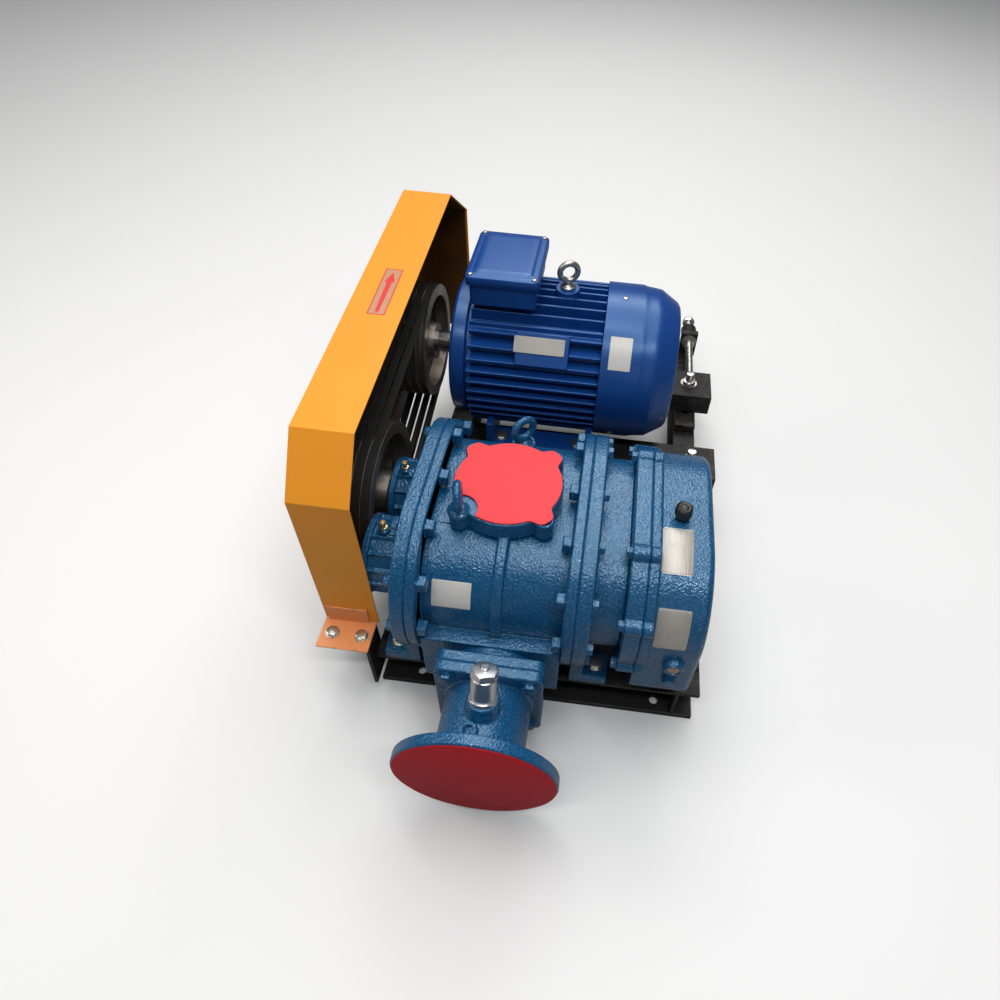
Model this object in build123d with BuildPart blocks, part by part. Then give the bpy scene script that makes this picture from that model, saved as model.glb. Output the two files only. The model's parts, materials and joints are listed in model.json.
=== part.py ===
from build123d import *
import os
from math import acos, atan2, cos, hypot, pi, radians, sin, sqrt, tan

# Belt-driven three-lobe roots vacuum pump on a channel base.
# Frame: X runs along the rotor and motor shafts towards the gear case, Y to the rear, Z up.
# The origin is the middle of the base's foundation holes, on the floor. All sizes in mm.

os.makedirs("parts", exist_ok=True)

# ---- driving dimensions ---------------------------------------------------------------
# base frame of channel steel
BASE_WIDTH = 495.0
BASE_LENGTH = 850.0
CHANNEL_HEIGHT = 80.0
CHANNEL_FLANGE = 43.0
CHANNEL_WALL = 5.0
CHANNEL_FLANGE_WALL = 8.0
BASE_HOLE_RADIUS = 7.0
GUSSET_WALL = 6.0

# pump
PUMP_FROM_LEFT = 183.5
PUMP_FROM_FRONT = 148.0
PUMP_Z = 223.0
SHAFT_PITCH = 117.0
LOBES = 3
ROTOR_CLEARANCE = 0.25
ROTOR_END_CLEARANCE = 0.35
CASING_HALF_LENGTH = 112.0
CASING_WALL = 18.5
CASING_FLANGE_WALL = 15.0
END_PLATE_WALL = 20.0
END_PLATE_RADIUS = 125.5
CHEST_TOP = 200.0
CHEST_DEPTH = 176.0
CASING_FOOT_Z = 98.0
RIB_WALL = 14.0
FOOT_WIDTH = 46.0
FOOT_WALL = 18.0
FOOT_BOLT_RADIUS = 6.0

# ports
INLET_Y = -7.5
INLET_TOP = 350.0
INLET_BORE_RADIUS = 40.0
INLET_PITCH_RADIUS = 80.0
INLET_HOLE_RADIUS = 9.0
INLET_LOBE_RADIUS = 14.0
INLET_DISC_RADIUS = 76.0
INLET_FLANGE_WALL = 28.0
COVER_WALL = 2.5
COVER_GAP = 0.3
OUTLET_Z = 134.0
OUTLET_X = 6.0
OUTLET_BORE_RADIUS = 50.0
OUTLET_PIPE_RADIUS = 60.0
OUTLET_FLANGE_RADIUS = 110.0
OUTLET_FLANGE_WALL = 16.0
OUTLET_FACE_REACH = 331.0
OUTLET_PITCH_RADIUS = 90.0
OUTLET_HOLE_RADIUS = 9.0
OUTLET_HOLES = 8
SQUARE_HALF = 74.0
SQUARE_WALL = 16.0
SQUARE_REACH = 222.0
SQUARE_BOLT_OFFSET = 56.0
SQUARE_CORNER = 12.0

# shafts, bearings, seals
ROTOR_SHAFT_RADIUS = 22.5
BEARING_BORE_RADIUS = 20.0
BEARING_OUTER_RADIUS = 45.0
BEARING_WIDTH = 23.0
BEARING_SETBACK = 9.0
RUNNING_GAP = 0.05
PULLEY_SEAT_RADIUS = 19.0
GEAR_SEAT_RADIUS = 18.0
SEAL_RADIUS = 32.0
SEAL_WIDTH = 8.0
HOUSING_RADIUS = 52.5
HOUSING_RIB = 5.0
HOUSING_RIBS = 14
DRIVE_HOUSING_LENGTH = 55.0
DRIVEN_HOUSING_LENGTH = 61.0
HOUSING_END_WALL = 10.0

# timing gears and their case
GEAR_TEETH = 26
GEAR_BACKLASH = 0.6
GEAR_WIDTH = 36.0
PRESSURE_ANGLE = 20.0
NECK_LENGTH = 43.0
NECK_RADIUS = 92.0
GEAR_BACK_WALL = 24.0
GEAR_BACK_RADIUS = 116.0
GEAR_CASE_LENGTH = 86.0
GEAR_CASE_RADIUS = 110.0
GEAR_CASE_WALL = 7.0
GEAR_CASE_ROUND = 10.0
SUMP_DROP = 7.0
SUMP_ROUND = 30.0

# belt drive
BELTS = 4
BELT_PITCH = 15.0
BELT_TOP = 13.0
BELT_HEIGHT = 8.0
BELT_PROUD = 1.0
BELT_GAP = 0.35
BELT_HALF_ANGLE = 19.0
GROOVE_DEPTH = 11.0
PULLEY_EDGE = 8.0
PULLEY_RIM = 8.0
PULLEY_WEB = 14.0
PULLEY_HUB_RADIUS = 32.0
MOTOR_PULLEY_RADIUS = 100.0
PUMP_PULLEY_RADIUS = 112.0
PULLEY_FROM_PUMP = 195.0

# guard
GUARD_FROM_PUMP = 180.0
GUARD_WIDTH = 82.0
GUARD_WALL = 2.0
GUARD_FRONT_Y = -395.0
GUARD_SLOPE_FRONT_Y = -334.0
GUARD_PEAK_Y = 223.0
GUARD_REAR_Y = 339.0
GUARD_FRONT_Z = 388.5
GUARD_SLOPE_FRONT_Z = 461.5
GUARD_PEAK_Z = 497.0
GUARD_REAR_TOP_Z = 414.0
GUARD_REAR_BOTTOM_Z = 150.0
GUARD_FOOT_Z = 124.0
GUARD_FOOT_DEPTH = 50.0
GUARD_FOOT_WALL = 3.0

# motor, frame size 132
MOTOR_FROM_PUMP = 149.0
MOTOR_BEHIND_PUMP = 389.0
MOTOR_HEIGHT = 132.0
MOTOR_BARREL_RADIUS = 106.0
MOTOR_FIN_RADIUS = 131.0
MOTOR_FIN_WALL = 4.5
MOTOR_FIN_PITCH = 19.0
MOTOR_BARREL_WALL = 7.0
MOTOR_SHAFT_RADIUS = 19.0
MOTOR_SHAFT_LENGTH = 80.0
SHIELD_LENGTH = 26.0
SHIELD_RADIUS = 120.0
BARREL_LENGTH = 234.0
FAN_COVER_RADIUS = 135.0
FAN_COVER_LENGTH = 127.0
FAN_COVER_WALL = 2.0
FOOT_HOLE_FROM_FACE = 89.0
FOOT_HOLE_SPACING = 140.0
FOOT_HOLE_SPREAD = 216.0
MOTOR_FOOT_WALL = 15.0
BOX_FROM_FACE = 27.0
BOX_LENGTH = 118.0
BOX_BREADTH = 148.0
BOX_LID_TOP = 462.0
BOX_LID_WALL = 20.0

# motor slide
PAD_WALL = 18.0
PAD_WIDTH = 40.0
PAD_LENGTH = 140.0
BAR_WIDTH = 80.0
BAR_HEIGHT = 43.0
BAR_WALL = 6.0
BAR_PAST_RIGHT = 24.5
BAR_FROM_LEFT = 7.5
CLAMP_BOLT_RADIUS = 8.0
JACK_RADIUS = 8.0
JACK_FROM_SIDE = 15.5
JACK_BRACKET_WALL = 14.0

# ---- sizes that follow ----------------------------------------------------------------
BASE_HALF_WIDTH = BASE_WIDTH / 2
BASE_HALF_LENGTH = BASE_LENGTH / 2
PUMP_X = -BASE_HALF_WIDTH + PUMP_FROM_LEFT
PUMP_Y = -BASE_HALF_LENGTH + PUMP_FROM_FRONT
PULLEY_FACE_X = PUMP_X - PULLEY_FROM_PUMP
GUARD_RIGHT_X = PUMP_X - GUARD_FROM_PUMP
MOTOR_FACE_X = PUMP_X - MOTOR_FROM_PUMP
MOTOR_Y = PUMP_Y + MOTOR_BEHIND_PUMP
BAR_RIGHT_X = BASE_HALF_WIDTH + BAR_PAST_RIGHT
BAR_LEFT_X = -BASE_HALF_WIDTH + BAR_FROM_LEFT
JACK_X = BASE_HALF_WIDTH - JACK_FROM_SIDE
HALF_PITCH = SHAFT_PITCH / 2
DRIVE_Y = PUMP_Y + HALF_PITCH
DRIVEN_Y = PUMP_Y - HALF_PITCH
ROLLING_RADIUS = HALF_PITCH / (2 * LOBES)
TIP_RADIUS = HALF_PITCH + 2 * ROLLING_RADIUS
CASING_BORE_RADIUS = TIP_RADIUS + ROTOR_CLEARANCE
CASING_RADIUS = CASING_BORE_RADIUS + CASING_WALL
PLATE_OUT = CASING_HALF_LENGTH + END_PLATE_WALL
NECK_END = PLATE_OUT + NECK_LENGTH
GEAR_BACK_END = NECK_END + GEAR_BACK_WALL
GEAR_CASE_END = GEAR_BACK_END + GEAR_CASE_LENGTH
GEAR_MODULE = SHAFT_PITCH / GEAR_TEETH
MOTOR_BASE_Z = CHANNEL_HEIGHT + PAD_WALL + BAR_HEIGHT
MOTOR_Z = MOTOR_BASE_Z + MOTOR_HEIGHT
PULLEY_WIDTH = (BELTS - 1) * BELT_PITCH + 2 * PULLEY_EDGE
BELT_SPAN = hypot(MOTOR_Y - DRIVE_Y, MOTOR_Z - PUMP_Z)
GUARD_LEFT_X = GUARD_RIGHT_X - GUARD_WIDTH
RAIL_CENTRE_X = BASE_HALF_WIDTH - CHANNEL_FLANGE / 2
MOTOR_FOOT_Y = (MOTOR_Y - FOOT_HOLE_SPREAD / 2, MOTOR_Y + FOOT_HOLE_SPREAD / 2)
MOTOR_FOOT_X = (
    MOTOR_FACE_X + FOOT_HOLE_FROM_FACE,
    MOTOR_FACE_X + FOOT_HOLE_FROM_FACE + FOOT_HOLE_SPACING,
)


# ---- shared helpers -------------------------------------------------------------------
def facing_x(x, y=0.0, z=0.0):
    """A plane across the shafts: its local x is Y and its local y is Z."""
    return Plane(origin=(x, y, z), x_dir=(0, 1, 0), z_dir=(1, 0, 0))


def facing_front(x, y, z):
    """A plane that looks to the front: its local x is X and its local y is Z."""
    return Plane(origin=(x, y, z), x_dir=(1, 0, 0), z_dir=(0, -1, 0))


def level(z, x=0.0, y=0.0):
    """A level plane that looks up."""
    return Plane(origin=(x, y, z), x_dir=(1, 0, 0), z_dir=(0, 0, 1))


def disc(plane, radius, length, mode=Mode.ADD):
    """A round bar or a round hole that starts on a plane."""
    with BuildSketch(plane) as outline:
        Circle(radius)
    extrude(outline.sketch, amount=length, mode=mode)


def ring(plane, outer, inner, length):
    """A tube that starts on a plane."""
    with BuildSketch(plane) as outline:
        Circle(outer)
        Circle(inner, mode=Mode.SUBTRACT)
    extrude(outline.sketch, amount=length)


def block(low, high, mode=Mode.ADD):
    """A box between two corners."""
    size = [b - a for a, b in zip(low, high)]
    middle = [(a + b) / 2 for a, b in zip(low, high)]
    with Locations(tuple(middle)):
        Box(*size, mode=mode)


def oblong(plane, radius, length, mode=Mode.ADD):
    """A racetrack round both rotor axes, extruded from a plane on the pump's centre."""
    with BuildSketch(plane) as outline:
        SlotCenterToCenter(SHAFT_PITCH, 2 * radius)
    extrude(outline.sketch, amount=length, mode=mode)


def hex_bolt(plane, radius, reach, mode=Mode.ADD):
    """A hexagon head that stands on a plane, with its shank behind the plane."""
    with BuildSketch(plane) as head:
        RegularPolygon(1.75 * radius, 6)
    extrude(head.sketch, amount=1.25 * radius, mode=mode)
    with BuildSketch(plane) as shank:
        Circle(radius)
    extrude(shank.sketch, amount=-reach, mode=mode)


def racetrack_spots(radius, count_round, straight):
    """Bolt places on a racetrack: round both ends, and straight ones above and below."""
    spots = []
    for end in (-1, 1):
        for i in range(count_round):
            angle = radians(-75 + 150 * i / (count_round - 1))
            spots.append((end * (HALF_PITCH + radius * cos(angle)), radius * sin(angle)))
    if straight:
        spots += [(0.0, radius), (0.0, -radius)]
    return spots


def eye_ring(x, y, z, turn, radius, wire):
    """An upright ring of round bar, whose plane is turned about Z."""
    along = (cos(radians(turn)), sin(radians(turn)), 0)
    across = (along[1], -along[0], 0)
    with BuildSketch(Plane(origin=(x, y, z), x_dir=along, z_dir=(0, 0, -1))) as section:
        with Locations((radius, 0)):
            RegularPolygon(wire, 12)
    revolve(section.sketch, axis=Axis((x, y, z), across))


def save(builder, label):
    """Labels a finished piece and writes it."""
    builder.part.label = label
    export_step(builder.part, f"parts/{label}.step")


# ---- base frame -----------------------------------------------------------------------
def channel(origin, side, length, floor_holes=(), top_holes=()):
    """A channel rail on the floor: its web stands at the origin, its flanges point to side."""
    run = Plane(origin=origin, x_dir=side, z_dir=Vector(*side).cross(Vector(0, 0, 1)))
    inner = CHANNEL_HEIGHT - CHANNEL_FLANGE_WALL
    with BuildSketch(run) as section:
        with BuildLine():
            Polyline(
                (0, 0), (CHANNEL_FLANGE, 0), (CHANNEL_FLANGE, CHANNEL_FLANGE_WALL),
                (CHANNEL_WALL, CHANNEL_FLANGE_WALL), (CHANNEL_WALL, inner),
                (CHANNEL_FLANGE, inner), (CHANNEL_FLANGE, CHANNEL_HEIGHT),
                (0, CHANNEL_HEIGHT), close=True,
            )
        make_face()
        corners = section.vertices().filter_by_position(Axis.Y, CHANNEL_FLANGE_WALL - 1, inner + 1)
        fillet(corners, CHANNEL_WALL / 2)
    extrude(section.sketch, amount=length)
    for x, y in floor_holes:
        disc(level(-1, x, y), BASE_HOLE_RADIUS, CHANNEL_FLANGE_WALL + 2, Mode.SUBTRACT)
    for x, y, radius in top_holes:
        disc(level(inner - 1, x, y), radius, CHANNEL_FLANGE_WALL + 2, Mode.SUBTRACT)


PUMP_FOOT_REACH = 126.0
PUMP_FOOT_X = (PUMP_X - PLATE_OUT - FOOT_WALL, PUMP_X + PLATE_OUT + FOOT_WALL)
BAR_Y = (MOTOR_FOOT_Y[0] + 4.0, MOTOR_FOOT_Y[1] + 13.0)
CLAMP_X = (-RAIL_CENTRE_X, RAIL_CENTRE_X)
REAR_FOOT_HOLES = [(x, PUMP_Y + PUMP_FOOT_REACH, FOOT_BOLT_RADIUS) for x in PUMP_FOOT_X]
FOUNDATION_X = BASE_HALF_WIDTH - 60.0
FOUNDATION_Y = BASE_HALF_LENGTH - CHANNEL_FLANGE / 2

with BuildPart() as base_front_rail:
    channel(
        (BASE_HALF_WIDTH, -BASE_HALF_LENGTH + CHANNEL_FLANGE, 0), (0, -1, 0), BASE_WIDTH,
        [(-FOUNDATION_X, -FOUNDATION_Y), (FOUNDATION_X, -FOUNDATION_Y)],
        [(x, PUMP_Y - PUMP_FOOT_REACH, FOOT_BOLT_RADIUS) for x in PUMP_FOOT_X],
    )
    for x in (-FOUNDATION_X + 25, FOUNDATION_X + 25):
        block(
            (x, -BASE_HALF_LENGTH + 2, CHANNEL_FLANGE_WALL),
            (
                x + GUSSET_WALL,
                -BASE_HALF_LENGTH + CHANNEL_FLANGE - CHANNEL_WALL,
                CHANNEL_HEIGHT - CHANNEL_FLANGE_WALL,
            ),
        )
save(base_front_rail, "base_front_rail")

with BuildPart() as base_rear_rail:
    channel(
        (-BASE_HALF_WIDTH, BASE_HALF_LENGTH - CHANNEL_FLANGE, 0), (0, 1, 0), BASE_WIDTH,
        [(-FOUNDATION_X, FOUNDATION_Y), (FOUNDATION_X, FOUNDATION_Y)],
    )
save(base_rear_rail, "base_rear_rail")

SIDE_RAIL_LENGTH = BASE_LENGTH - 2 * CHANNEL_FLANGE
for label, side in (("base_left_rail", -1), ("base_right_rail", 1)):
    with BuildPart() as side_rail:
        clamp_holes = [(side * RAIL_CENTRE_X, y, CLAMP_BOLT_RADIUS) for y in BAR_Y]
        channel(
            (side * BASE_HALF_WIDTH, -side * SIDE_RAIL_LENGTH / 2, 0), (-side, 0, 0),
            SIDE_RAIL_LENGTH, (), clamp_holes + REAR_FOOT_HOLES,
        )
    save(side_rail, label)

CROSS_RAIL_Y = PUMP_Y + PUMP_FOOT_REACH - CHANNEL_FLANGE / 2
with BuildPart() as base_cross_rail:
    channel(
        (-BASE_HALF_WIDTH + CHANNEL_FLANGE, CROSS_RAIL_Y, 0), (0, 1, 0),
        BASE_WIDTH - 2 * CHANNEL_FLANGE, (), REAR_FOOT_HOLES,
    )
save(base_cross_rail, "base_cross_rail")

# ---- motor slide ----------------------------------------------------------------------
with BuildPart() as slide_pads:
    for y in BAR_Y:
        for x in CLAMP_X:
            with BuildSketch(level(CHANNEL_HEIGHT, x, y - 12)) as pad:
                Rectangle(PAD_WIDTH, PAD_LENGTH)
                SlotOverall(64, 2 * CLAMP_BOLT_RADIUS + 2, rotation=90, mode=Mode.SUBTRACT)
            extrude(pad.sketch, amount=PAD_WALL)
save(slide_pads, "slide_pads")

for label, y in zip(("motor_front_bar", "motor_rear_bar"), BAR_Y):
    with BuildPart() as bar:
        with BuildSketch(facing_x(BAR_LEFT_X, y, CHANNEL_HEIGHT + PAD_WALL)) as section:
            with Locations((0, BAR_HEIGHT / 2)):
                Rectangle(BAR_WIDTH, BAR_HEIGHT)
            with Locations((0, (BAR_HEIGHT - BAR_WALL) / 2)):
                Rectangle(BAR_WIDTH - 2 * BAR_WALL, BAR_HEIGHT - BAR_WALL, mode=Mode.SUBTRACT)
        extrude(section.sketch, amount=BAR_RIGHT_X - BAR_LEFT_X)
        for x in CLAMP_X:
            disc(level(MOTOR_BASE_Z + 1, x, y), CLAMP_BOLT_RADIUS, -BAR_WALL - 2, Mode.SUBTRACT)
        for x in MOTOR_FOOT_X:
            for foot_y in MOTOR_FOOT_Y:
                if abs(foot_y - y) < BAR_WIDTH / 2:
                    disc(
                        level(MOTOR_BASE_Z + 1, x, foot_y), FOOT_BOLT_RADIUS, -BAR_WALL - 2,
                        Mode.SUBTRACT,
                    )
    save(bar, label)

with BuildPart() as clamp_bolts:
    for y in BAR_Y:
        for x in CLAMP_X:
            hex_bolt(
                level(MOTOR_BASE_Z, x, y), CLAMP_BOLT_RADIUS,
                BAR_HEIGHT + PAD_WALL + CHANNEL_FLANGE_WALL,
            )
            disc(level(MOTOR_BASE_Z, x, y), CLAMP_BOLT_RADIUS, 1.25 * CLAMP_BOLT_RADIUS + 16)
save(clamp_bolts, "clamp_bolts")

JACK_Z = CHANNEL_HEIGHT + PAD_WALL + BAR_HEIGHT / 2
JACK_BRACKET_Y = BASE_HALF_LENGTH - 16.0
JACK_BOSS_LENGTH = 30.0
with BuildPart() as jack_brackets:
    for x in (-JACK_X, JACK_X):
        block(
            (x - 18, JACK_BRACKET_Y, CHANNEL_HEIGHT),
            (x + 18, JACK_BRACKET_Y + JACK_BRACKET_WALL, JACK_Z + 20),
        )
        disc(
            Plane(origin=(x, JACK_BRACKET_Y + JACK_BRACKET_WALL, JACK_Z), z_dir=(0, 1, 0)),
            17, JACK_BOSS_LENGTH,
        )
        disc(
            Plane(origin=(x, JACK_BRACKET_Y - 1, JACK_Z), z_dir=(0, 1, 0)),
            JACK_RADIUS, JACK_BRACKET_WALL + JACK_BOSS_LENGTH + 2, Mode.SUBTRACT,
        )
save(jack_brackets, "jack_brackets")

JACK_START_Y = BAR_Y[1] + BAR_WIDTH / 2
JACK_END_Y = JACK_BRACKET_Y + JACK_BRACKET_WALL + JACK_BOSS_LENGTH + 23
with BuildPart() as jack_bolts:
    for x in (-JACK_X, JACK_X):
        start = Plane(origin=(x, JACK_START_Y, JACK_Z), z_dir=(0, 1, 0))
        end = Plane(origin=(x, JACK_END_Y, JACK_Z), z_dir=(0, 1, 0))
        lock = Plane(origin=(x, JACK_BRACKET_Y, JACK_Z), z_dir=(0, -1, 0))
        disc(start, JACK_RADIUS, JACK_END_Y - JACK_START_Y)
        for plane in (end, lock):
            with BuildSketch(plane) as nut:
                RegularPolygon(1.7 * JACK_RADIUS, 6)
            extrude(nut.sketch, amount=13)
save(jack_bolts, "jack_bolts")

# ---- pump casing ----------------------------------------------------------------------
PUMP_CENTRE = (PUMP_Y, PUMP_Z)
OUTLET_CENTRE_X = PUMP_X + OUTLET_X
CHEST_Y = PUMP_Y - CHEST_DEPTH
SQUARE_Y = PUMP_Y - SQUARE_REACH
INLET_BOLT_OFFSET = INLET_PITCH_RADIUS / sqrt(2)
INLET_CENTRE_Y = PUMP_Y + INLET_Y
EYE_SHANK = 20.0
EYE_SHANK_RADIUS = 9.0
EYE_FOOT_RADIUS = 16.0
EYE_RING_RADIUS = 17.0
EYE_WIRE_RADIUS = 5.5
EYE_CLEARANCE = 1.5
REAR_EYE_REACH = 96.0
REAR_EYE_Z = PUMP_Z + CASING_RADIUS + 9.0
PLATE_BOLTS = racetrack_spots(END_PLATE_RADIUS - 11, 5, True)
CASING_BASE = facing_x(PUMP_X - CASING_HALF_LENGTH, *PUMP_CENTRE)
RIGHT_PLATE = facing_x(PUMP_X + CASING_HALF_LENGTH, *PUMP_CENTRE)

with BuildPart() as pump_casing:
    oblong(CASING_BASE, CASING_RADIUS, 2 * CASING_HALF_LENGTH)
    oblong(CASING_BASE, END_PLATE_RADIUS, CASING_FLANGE_WALL)
    oblong(RIGHT_PLATE, END_PLATE_RADIUS, -CASING_FLANGE_WALL)
    oblong(facing_x(OUTLET_CENTRE_X - RIB_WALL / 2, *PUMP_CENTRE), CASING_RADIUS + 9, RIB_WALL)
    chest_half = CASING_HALF_LENGTH - CASING_FLANGE_WALL
    block(
        (PUMP_X - chest_half, CHEST_Y, CASING_FOOT_Z),
        (PUMP_X + chest_half, PUMP_Y + CHEST_DEPTH - 20, CHEST_TOP),
    )
    # bosses behind the flange bolts
    for side in (-1, 1):
        inner = PUMP_X + side * (CASING_HALF_LENGTH - CASING_FLANGE_WALL)
        with BuildSketch(facing_x(inner, *PUMP_CENTRE)) as bosses:
            with Locations(*PLATE_BOLTS):
                Rectangle(17, 17)
        extrude(bosses.sketch, amount=-side * 13)
    # inlet flange on top
    with BuildSketch(level(INLET_TOP, PUMP_X, INLET_CENTRE_Y)) as inlet_flange:
        Circle(INLET_DISC_RADIUS)
        with GridLocations(2 * INLET_BOLT_OFFSET, 2 * INLET_BOLT_OFFSET, 2, 2):
            Circle(INLET_LOBE_RADIUS)
    extrude(inlet_flange.sketch, amount=-INLET_FLANGE_WALL)
    disc(level(INLET_TOP - 5, PUMP_X, INLET_CENTRE_Y), INLET_DISC_RADIUS - 8, -80)
    # seat of the rear lifting eye
    disc(level(REAR_EYE_Z, OUTLET_CENTRE_X, PUMP_Y + REAR_EYE_REACH), 18, -24)
    # discharge neck and its square flange
    disc(
        facing_front(OUTLET_CENTRE_X, CHEST_Y + 20, OUTLET_Z),
        OUTLET_PIPE_RADIUS + 4, SQUARE_REACH - CHEST_DEPTH - 2 * SQUARE_WALL + 24,
    )
    with BuildSketch(facing_front(OUTLET_CENTRE_X, SQUARE_Y + SQUARE_WALL, OUTLET_Z)) as square:
        RectangleRounded(2 * SQUARE_HALF, 2 * SQUARE_HALF, SQUARE_CORNER)
    extrude(square.sketch, amount=-SQUARE_WALL)
    # figure-eight rotor bore
    for y in (DRIVE_Y, DRIVEN_Y):
        disc(
            facing_x(PUMP_X - CASING_HALF_LENGTH - 1, y, PUMP_Z), CASING_BORE_RADIUS,
            2 * CASING_HALF_LENGTH + 2, Mode.SUBTRACT,
        )
    # inlet port, discharge slot and discharge bore
    disc(
        level(INLET_TOP + 1, PUMP_X, INLET_CENTRE_Y), INLET_BORE_RADIUS, PUMP_Z - INLET_TOP,
        Mode.SUBTRACT,
    )
    block(
        (PUMP_X - 70, CHEST_Y + 12, CASING_FOOT_Z + 12), (PUMP_X + 70, PUMP_Y + 45, PUMP_Z - 40),
        Mode.SUBTRACT,
    )
    disc(
        facing_front(OUTLET_CENTRE_X, CHEST_Y + 14, OUTLET_Z), OUTLET_BORE_RADIUS,
        SQUARE_REACH - CHEST_DEPTH + 15, Mode.SUBTRACT,
    )
    # bolt holes
    disc(
        level(REAR_EYE_Z + 1, OUTLET_CENTRE_X, PUMP_Y + REAR_EYE_REACH), EYE_SHANK_RADIUS,
        -EYE_SHANK - 1, Mode.SUBTRACT,
    )
    with BuildSketch(level(INLET_TOP, PUMP_X, INLET_CENTRE_Y)) as inlet_holes:
        with GridLocations(2 * INLET_BOLT_OFFSET, 2 * INLET_BOLT_OFFSET, 2, 2):
            Circle(INLET_HOLE_RADIUS)
    extrude(inlet_holes.sketch, amount=-EYE_SHANK, mode=Mode.SUBTRACT)
    with BuildSketch(facing_front(OUTLET_CENTRE_X, SQUARE_Y, OUTLET_Z)) as square_holes:
        with GridLocations(2 * SQUARE_BOLT_OFFSET, 2 * SQUARE_BOLT_OFFSET, 2, 2):
            Circle(6)
    extrude(square_holes.sketch, amount=-2 * SQUARE_WALL, mode=Mode.SUBTRACT)
save(pump_casing, "pump_casing")


def pump_feet(face_x, side):
    """Two feet that stand out from an end plate, with a bolt hole in each."""
    for y in (-PUMP_FOOT_REACH, PUMP_FOOT_REACH):
        low_x, high_x = sorted((face_x, face_x + side * FOOT_WALL * 2))
        block(
            (low_x, PUMP_Y + y - FOOT_WIDTH / 2, CHANNEL_HEIGHT),
            (high_x, PUMP_Y + y + FOOT_WIDTH / 2, CHANNEL_HEIGHT + FOOT_WALL),
        )
        plate_low, plate_high = sorted((face_x, face_x - side * END_PLATE_WALL))
        block(
            (plate_low, PUMP_Y + y - FOOT_WIDTH / 2, CHANNEL_HEIGHT),
            (plate_high, PUMP_Y + y + FOOT_WIDTH / 2, PUMP_Z - 60),
        )
        disc(
            level(CHANNEL_HEIGHT - 1, face_x + side * FOOT_WALL, PUMP_Y + y), FOOT_BOLT_RADIUS,
            FOOT_WALL + 2, Mode.SUBTRACT,
        )


PLATE_LEFT_X = PUMP_X - PLATE_OUT
PLATE_RIGHT_X = PUMP_X + PLATE_OUT

with BuildPart() as drive_end_plate:
    oblong(facing_x(PLATE_LEFT_X, *PUMP_CENTRE), END_PLATE_RADIUS, END_PLATE_WALL)
    pump_feet(PLATE_LEFT_X, -1)
    for y in (DRIVE_Y, DRIVEN_Y):
        disc(
            facing_x(PLATE_LEFT_X - 1, y, PUMP_Z), SEAL_RADIUS, END_PLATE_WALL + 2, Mode.SUBTRACT
        )
save(drive_end_plate, "drive_end_plate")

with BuildPart() as gear_end_plate:
    oblong(facing_x(PLATE_RIGHT_X, *PUMP_CENTRE), END_PLATE_RADIUS, -END_PLATE_WALL)
    oblong(facing_x(PLATE_RIGHT_X, *PUMP_CENTRE), NECK_RADIUS, NECK_LENGTH)
    pump_feet(PLATE_RIGHT_X, 1)
    for y in (DRIVE_Y, DRIVEN_Y):
        disc(
            facing_x(PLATE_RIGHT_X - END_PLATE_WALL - 1, y, PUMP_Z), SEAL_RADIUS,
            END_PLATE_WALL + 1 + BEARING_SETBACK, Mode.SUBTRACT,
        )
        disc(
            facing_x(PLATE_RIGHT_X + BEARING_SETBACK, y, PUMP_Z), BEARING_OUTER_RADIUS,
            NECK_LENGTH - BEARING_SETBACK + 1, Mode.SUBTRACT,
        )
save(gear_end_plate, "gear_end_plate")


NIPPLE_X = PLATE_LEFT_X - 36.0
NIPPLE_HEX_RADIUS = 5.5
NIPPLE_HEX_HEIGHT = 5.0
NIPPLE_NECK_RADIUS = 2.6
NIPPLE_NECK_HEIGHT = 6.0
NIPPLE_Z = PUMP_Z + HOUSING_RADIUS + HOUSING_RIB + 1


def bearing_housing(y, length, shaft_hole):
    """A ribbed bearing housing on the drive end plate, with its end cover cast on."""
    end_x = PLATE_LEFT_X - length
    disc(facing_x(end_x, y, PUMP_Z), HOUSING_RADIUS, length)
    disc(facing_x(end_x, y, PUMP_Z), HOUSING_RADIUS + HOUSING_RIB, HOUSING_END_WALL)
    disc(facing_x(PLATE_LEFT_X, y, PUMP_Z), HOUSING_RADIUS + HOUSING_RIB, -HOUSING_END_WALL)
    with BuildSketch(facing_x(end_x, y, PUMP_Z)) as ribs:
        with PolarLocations(HOUSING_RADIUS, HOUSING_RIBS):
            Rectangle(2 * HOUSING_RIB - 1, 4)
    extrude(ribs.sketch, amount=length)
    disc(level(NIPPLE_Z, NIPPLE_X, y), 8, -2 * HOUSING_RIB)
    disc(
        facing_x(end_x + HOUSING_END_WALL, y, PUMP_Z), BEARING_OUTER_RADIUS,
        length - HOUSING_END_WALL, Mode.SUBTRACT,
    )
    if shaft_hole:
        disc(facing_x(end_x - 1, y, PUMP_Z), PULLEY_SEAT_RADIUS + 1.5, 30, Mode.SUBTRACT)


with BuildPart() as drive_bearing_housing:
    bearing_housing(DRIVE_Y, DRIVE_HOUSING_LENGTH, True)
save(drive_bearing_housing, "drive_bearing_housing")

with BuildPart() as driven_bearing_housing:
    bearing_housing(DRIVEN_Y, DRIVEN_HOUSING_LENGTH, False)
save(driven_bearing_housing, "driven_bearing_housing")

with BuildPart() as grease_nipples:
    for y in (DRIVE_Y, DRIVEN_Y):
        with BuildSketch(level(NIPPLE_Z, NIPPLE_X, y)) as hexagon:
            RegularPolygon(NIPPLE_HEX_RADIUS, 6)
        extrude(hexagon.sketch, amount=NIPPLE_HEX_HEIGHT)
        neck = level(NIPPLE_Z + NIPPLE_HEX_HEIGHT, NIPPLE_X, y)
        disc(neck, NIPPLE_NECK_RADIUS, NIPPLE_NECK_HEIGHT + 1)
        disc(neck.offset(NIPPLE_NECK_HEIGHT), NIPPLE_NECK_RADIUS + 0.8, 3)
save(grease_nipples, "grease_nipples")

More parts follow.
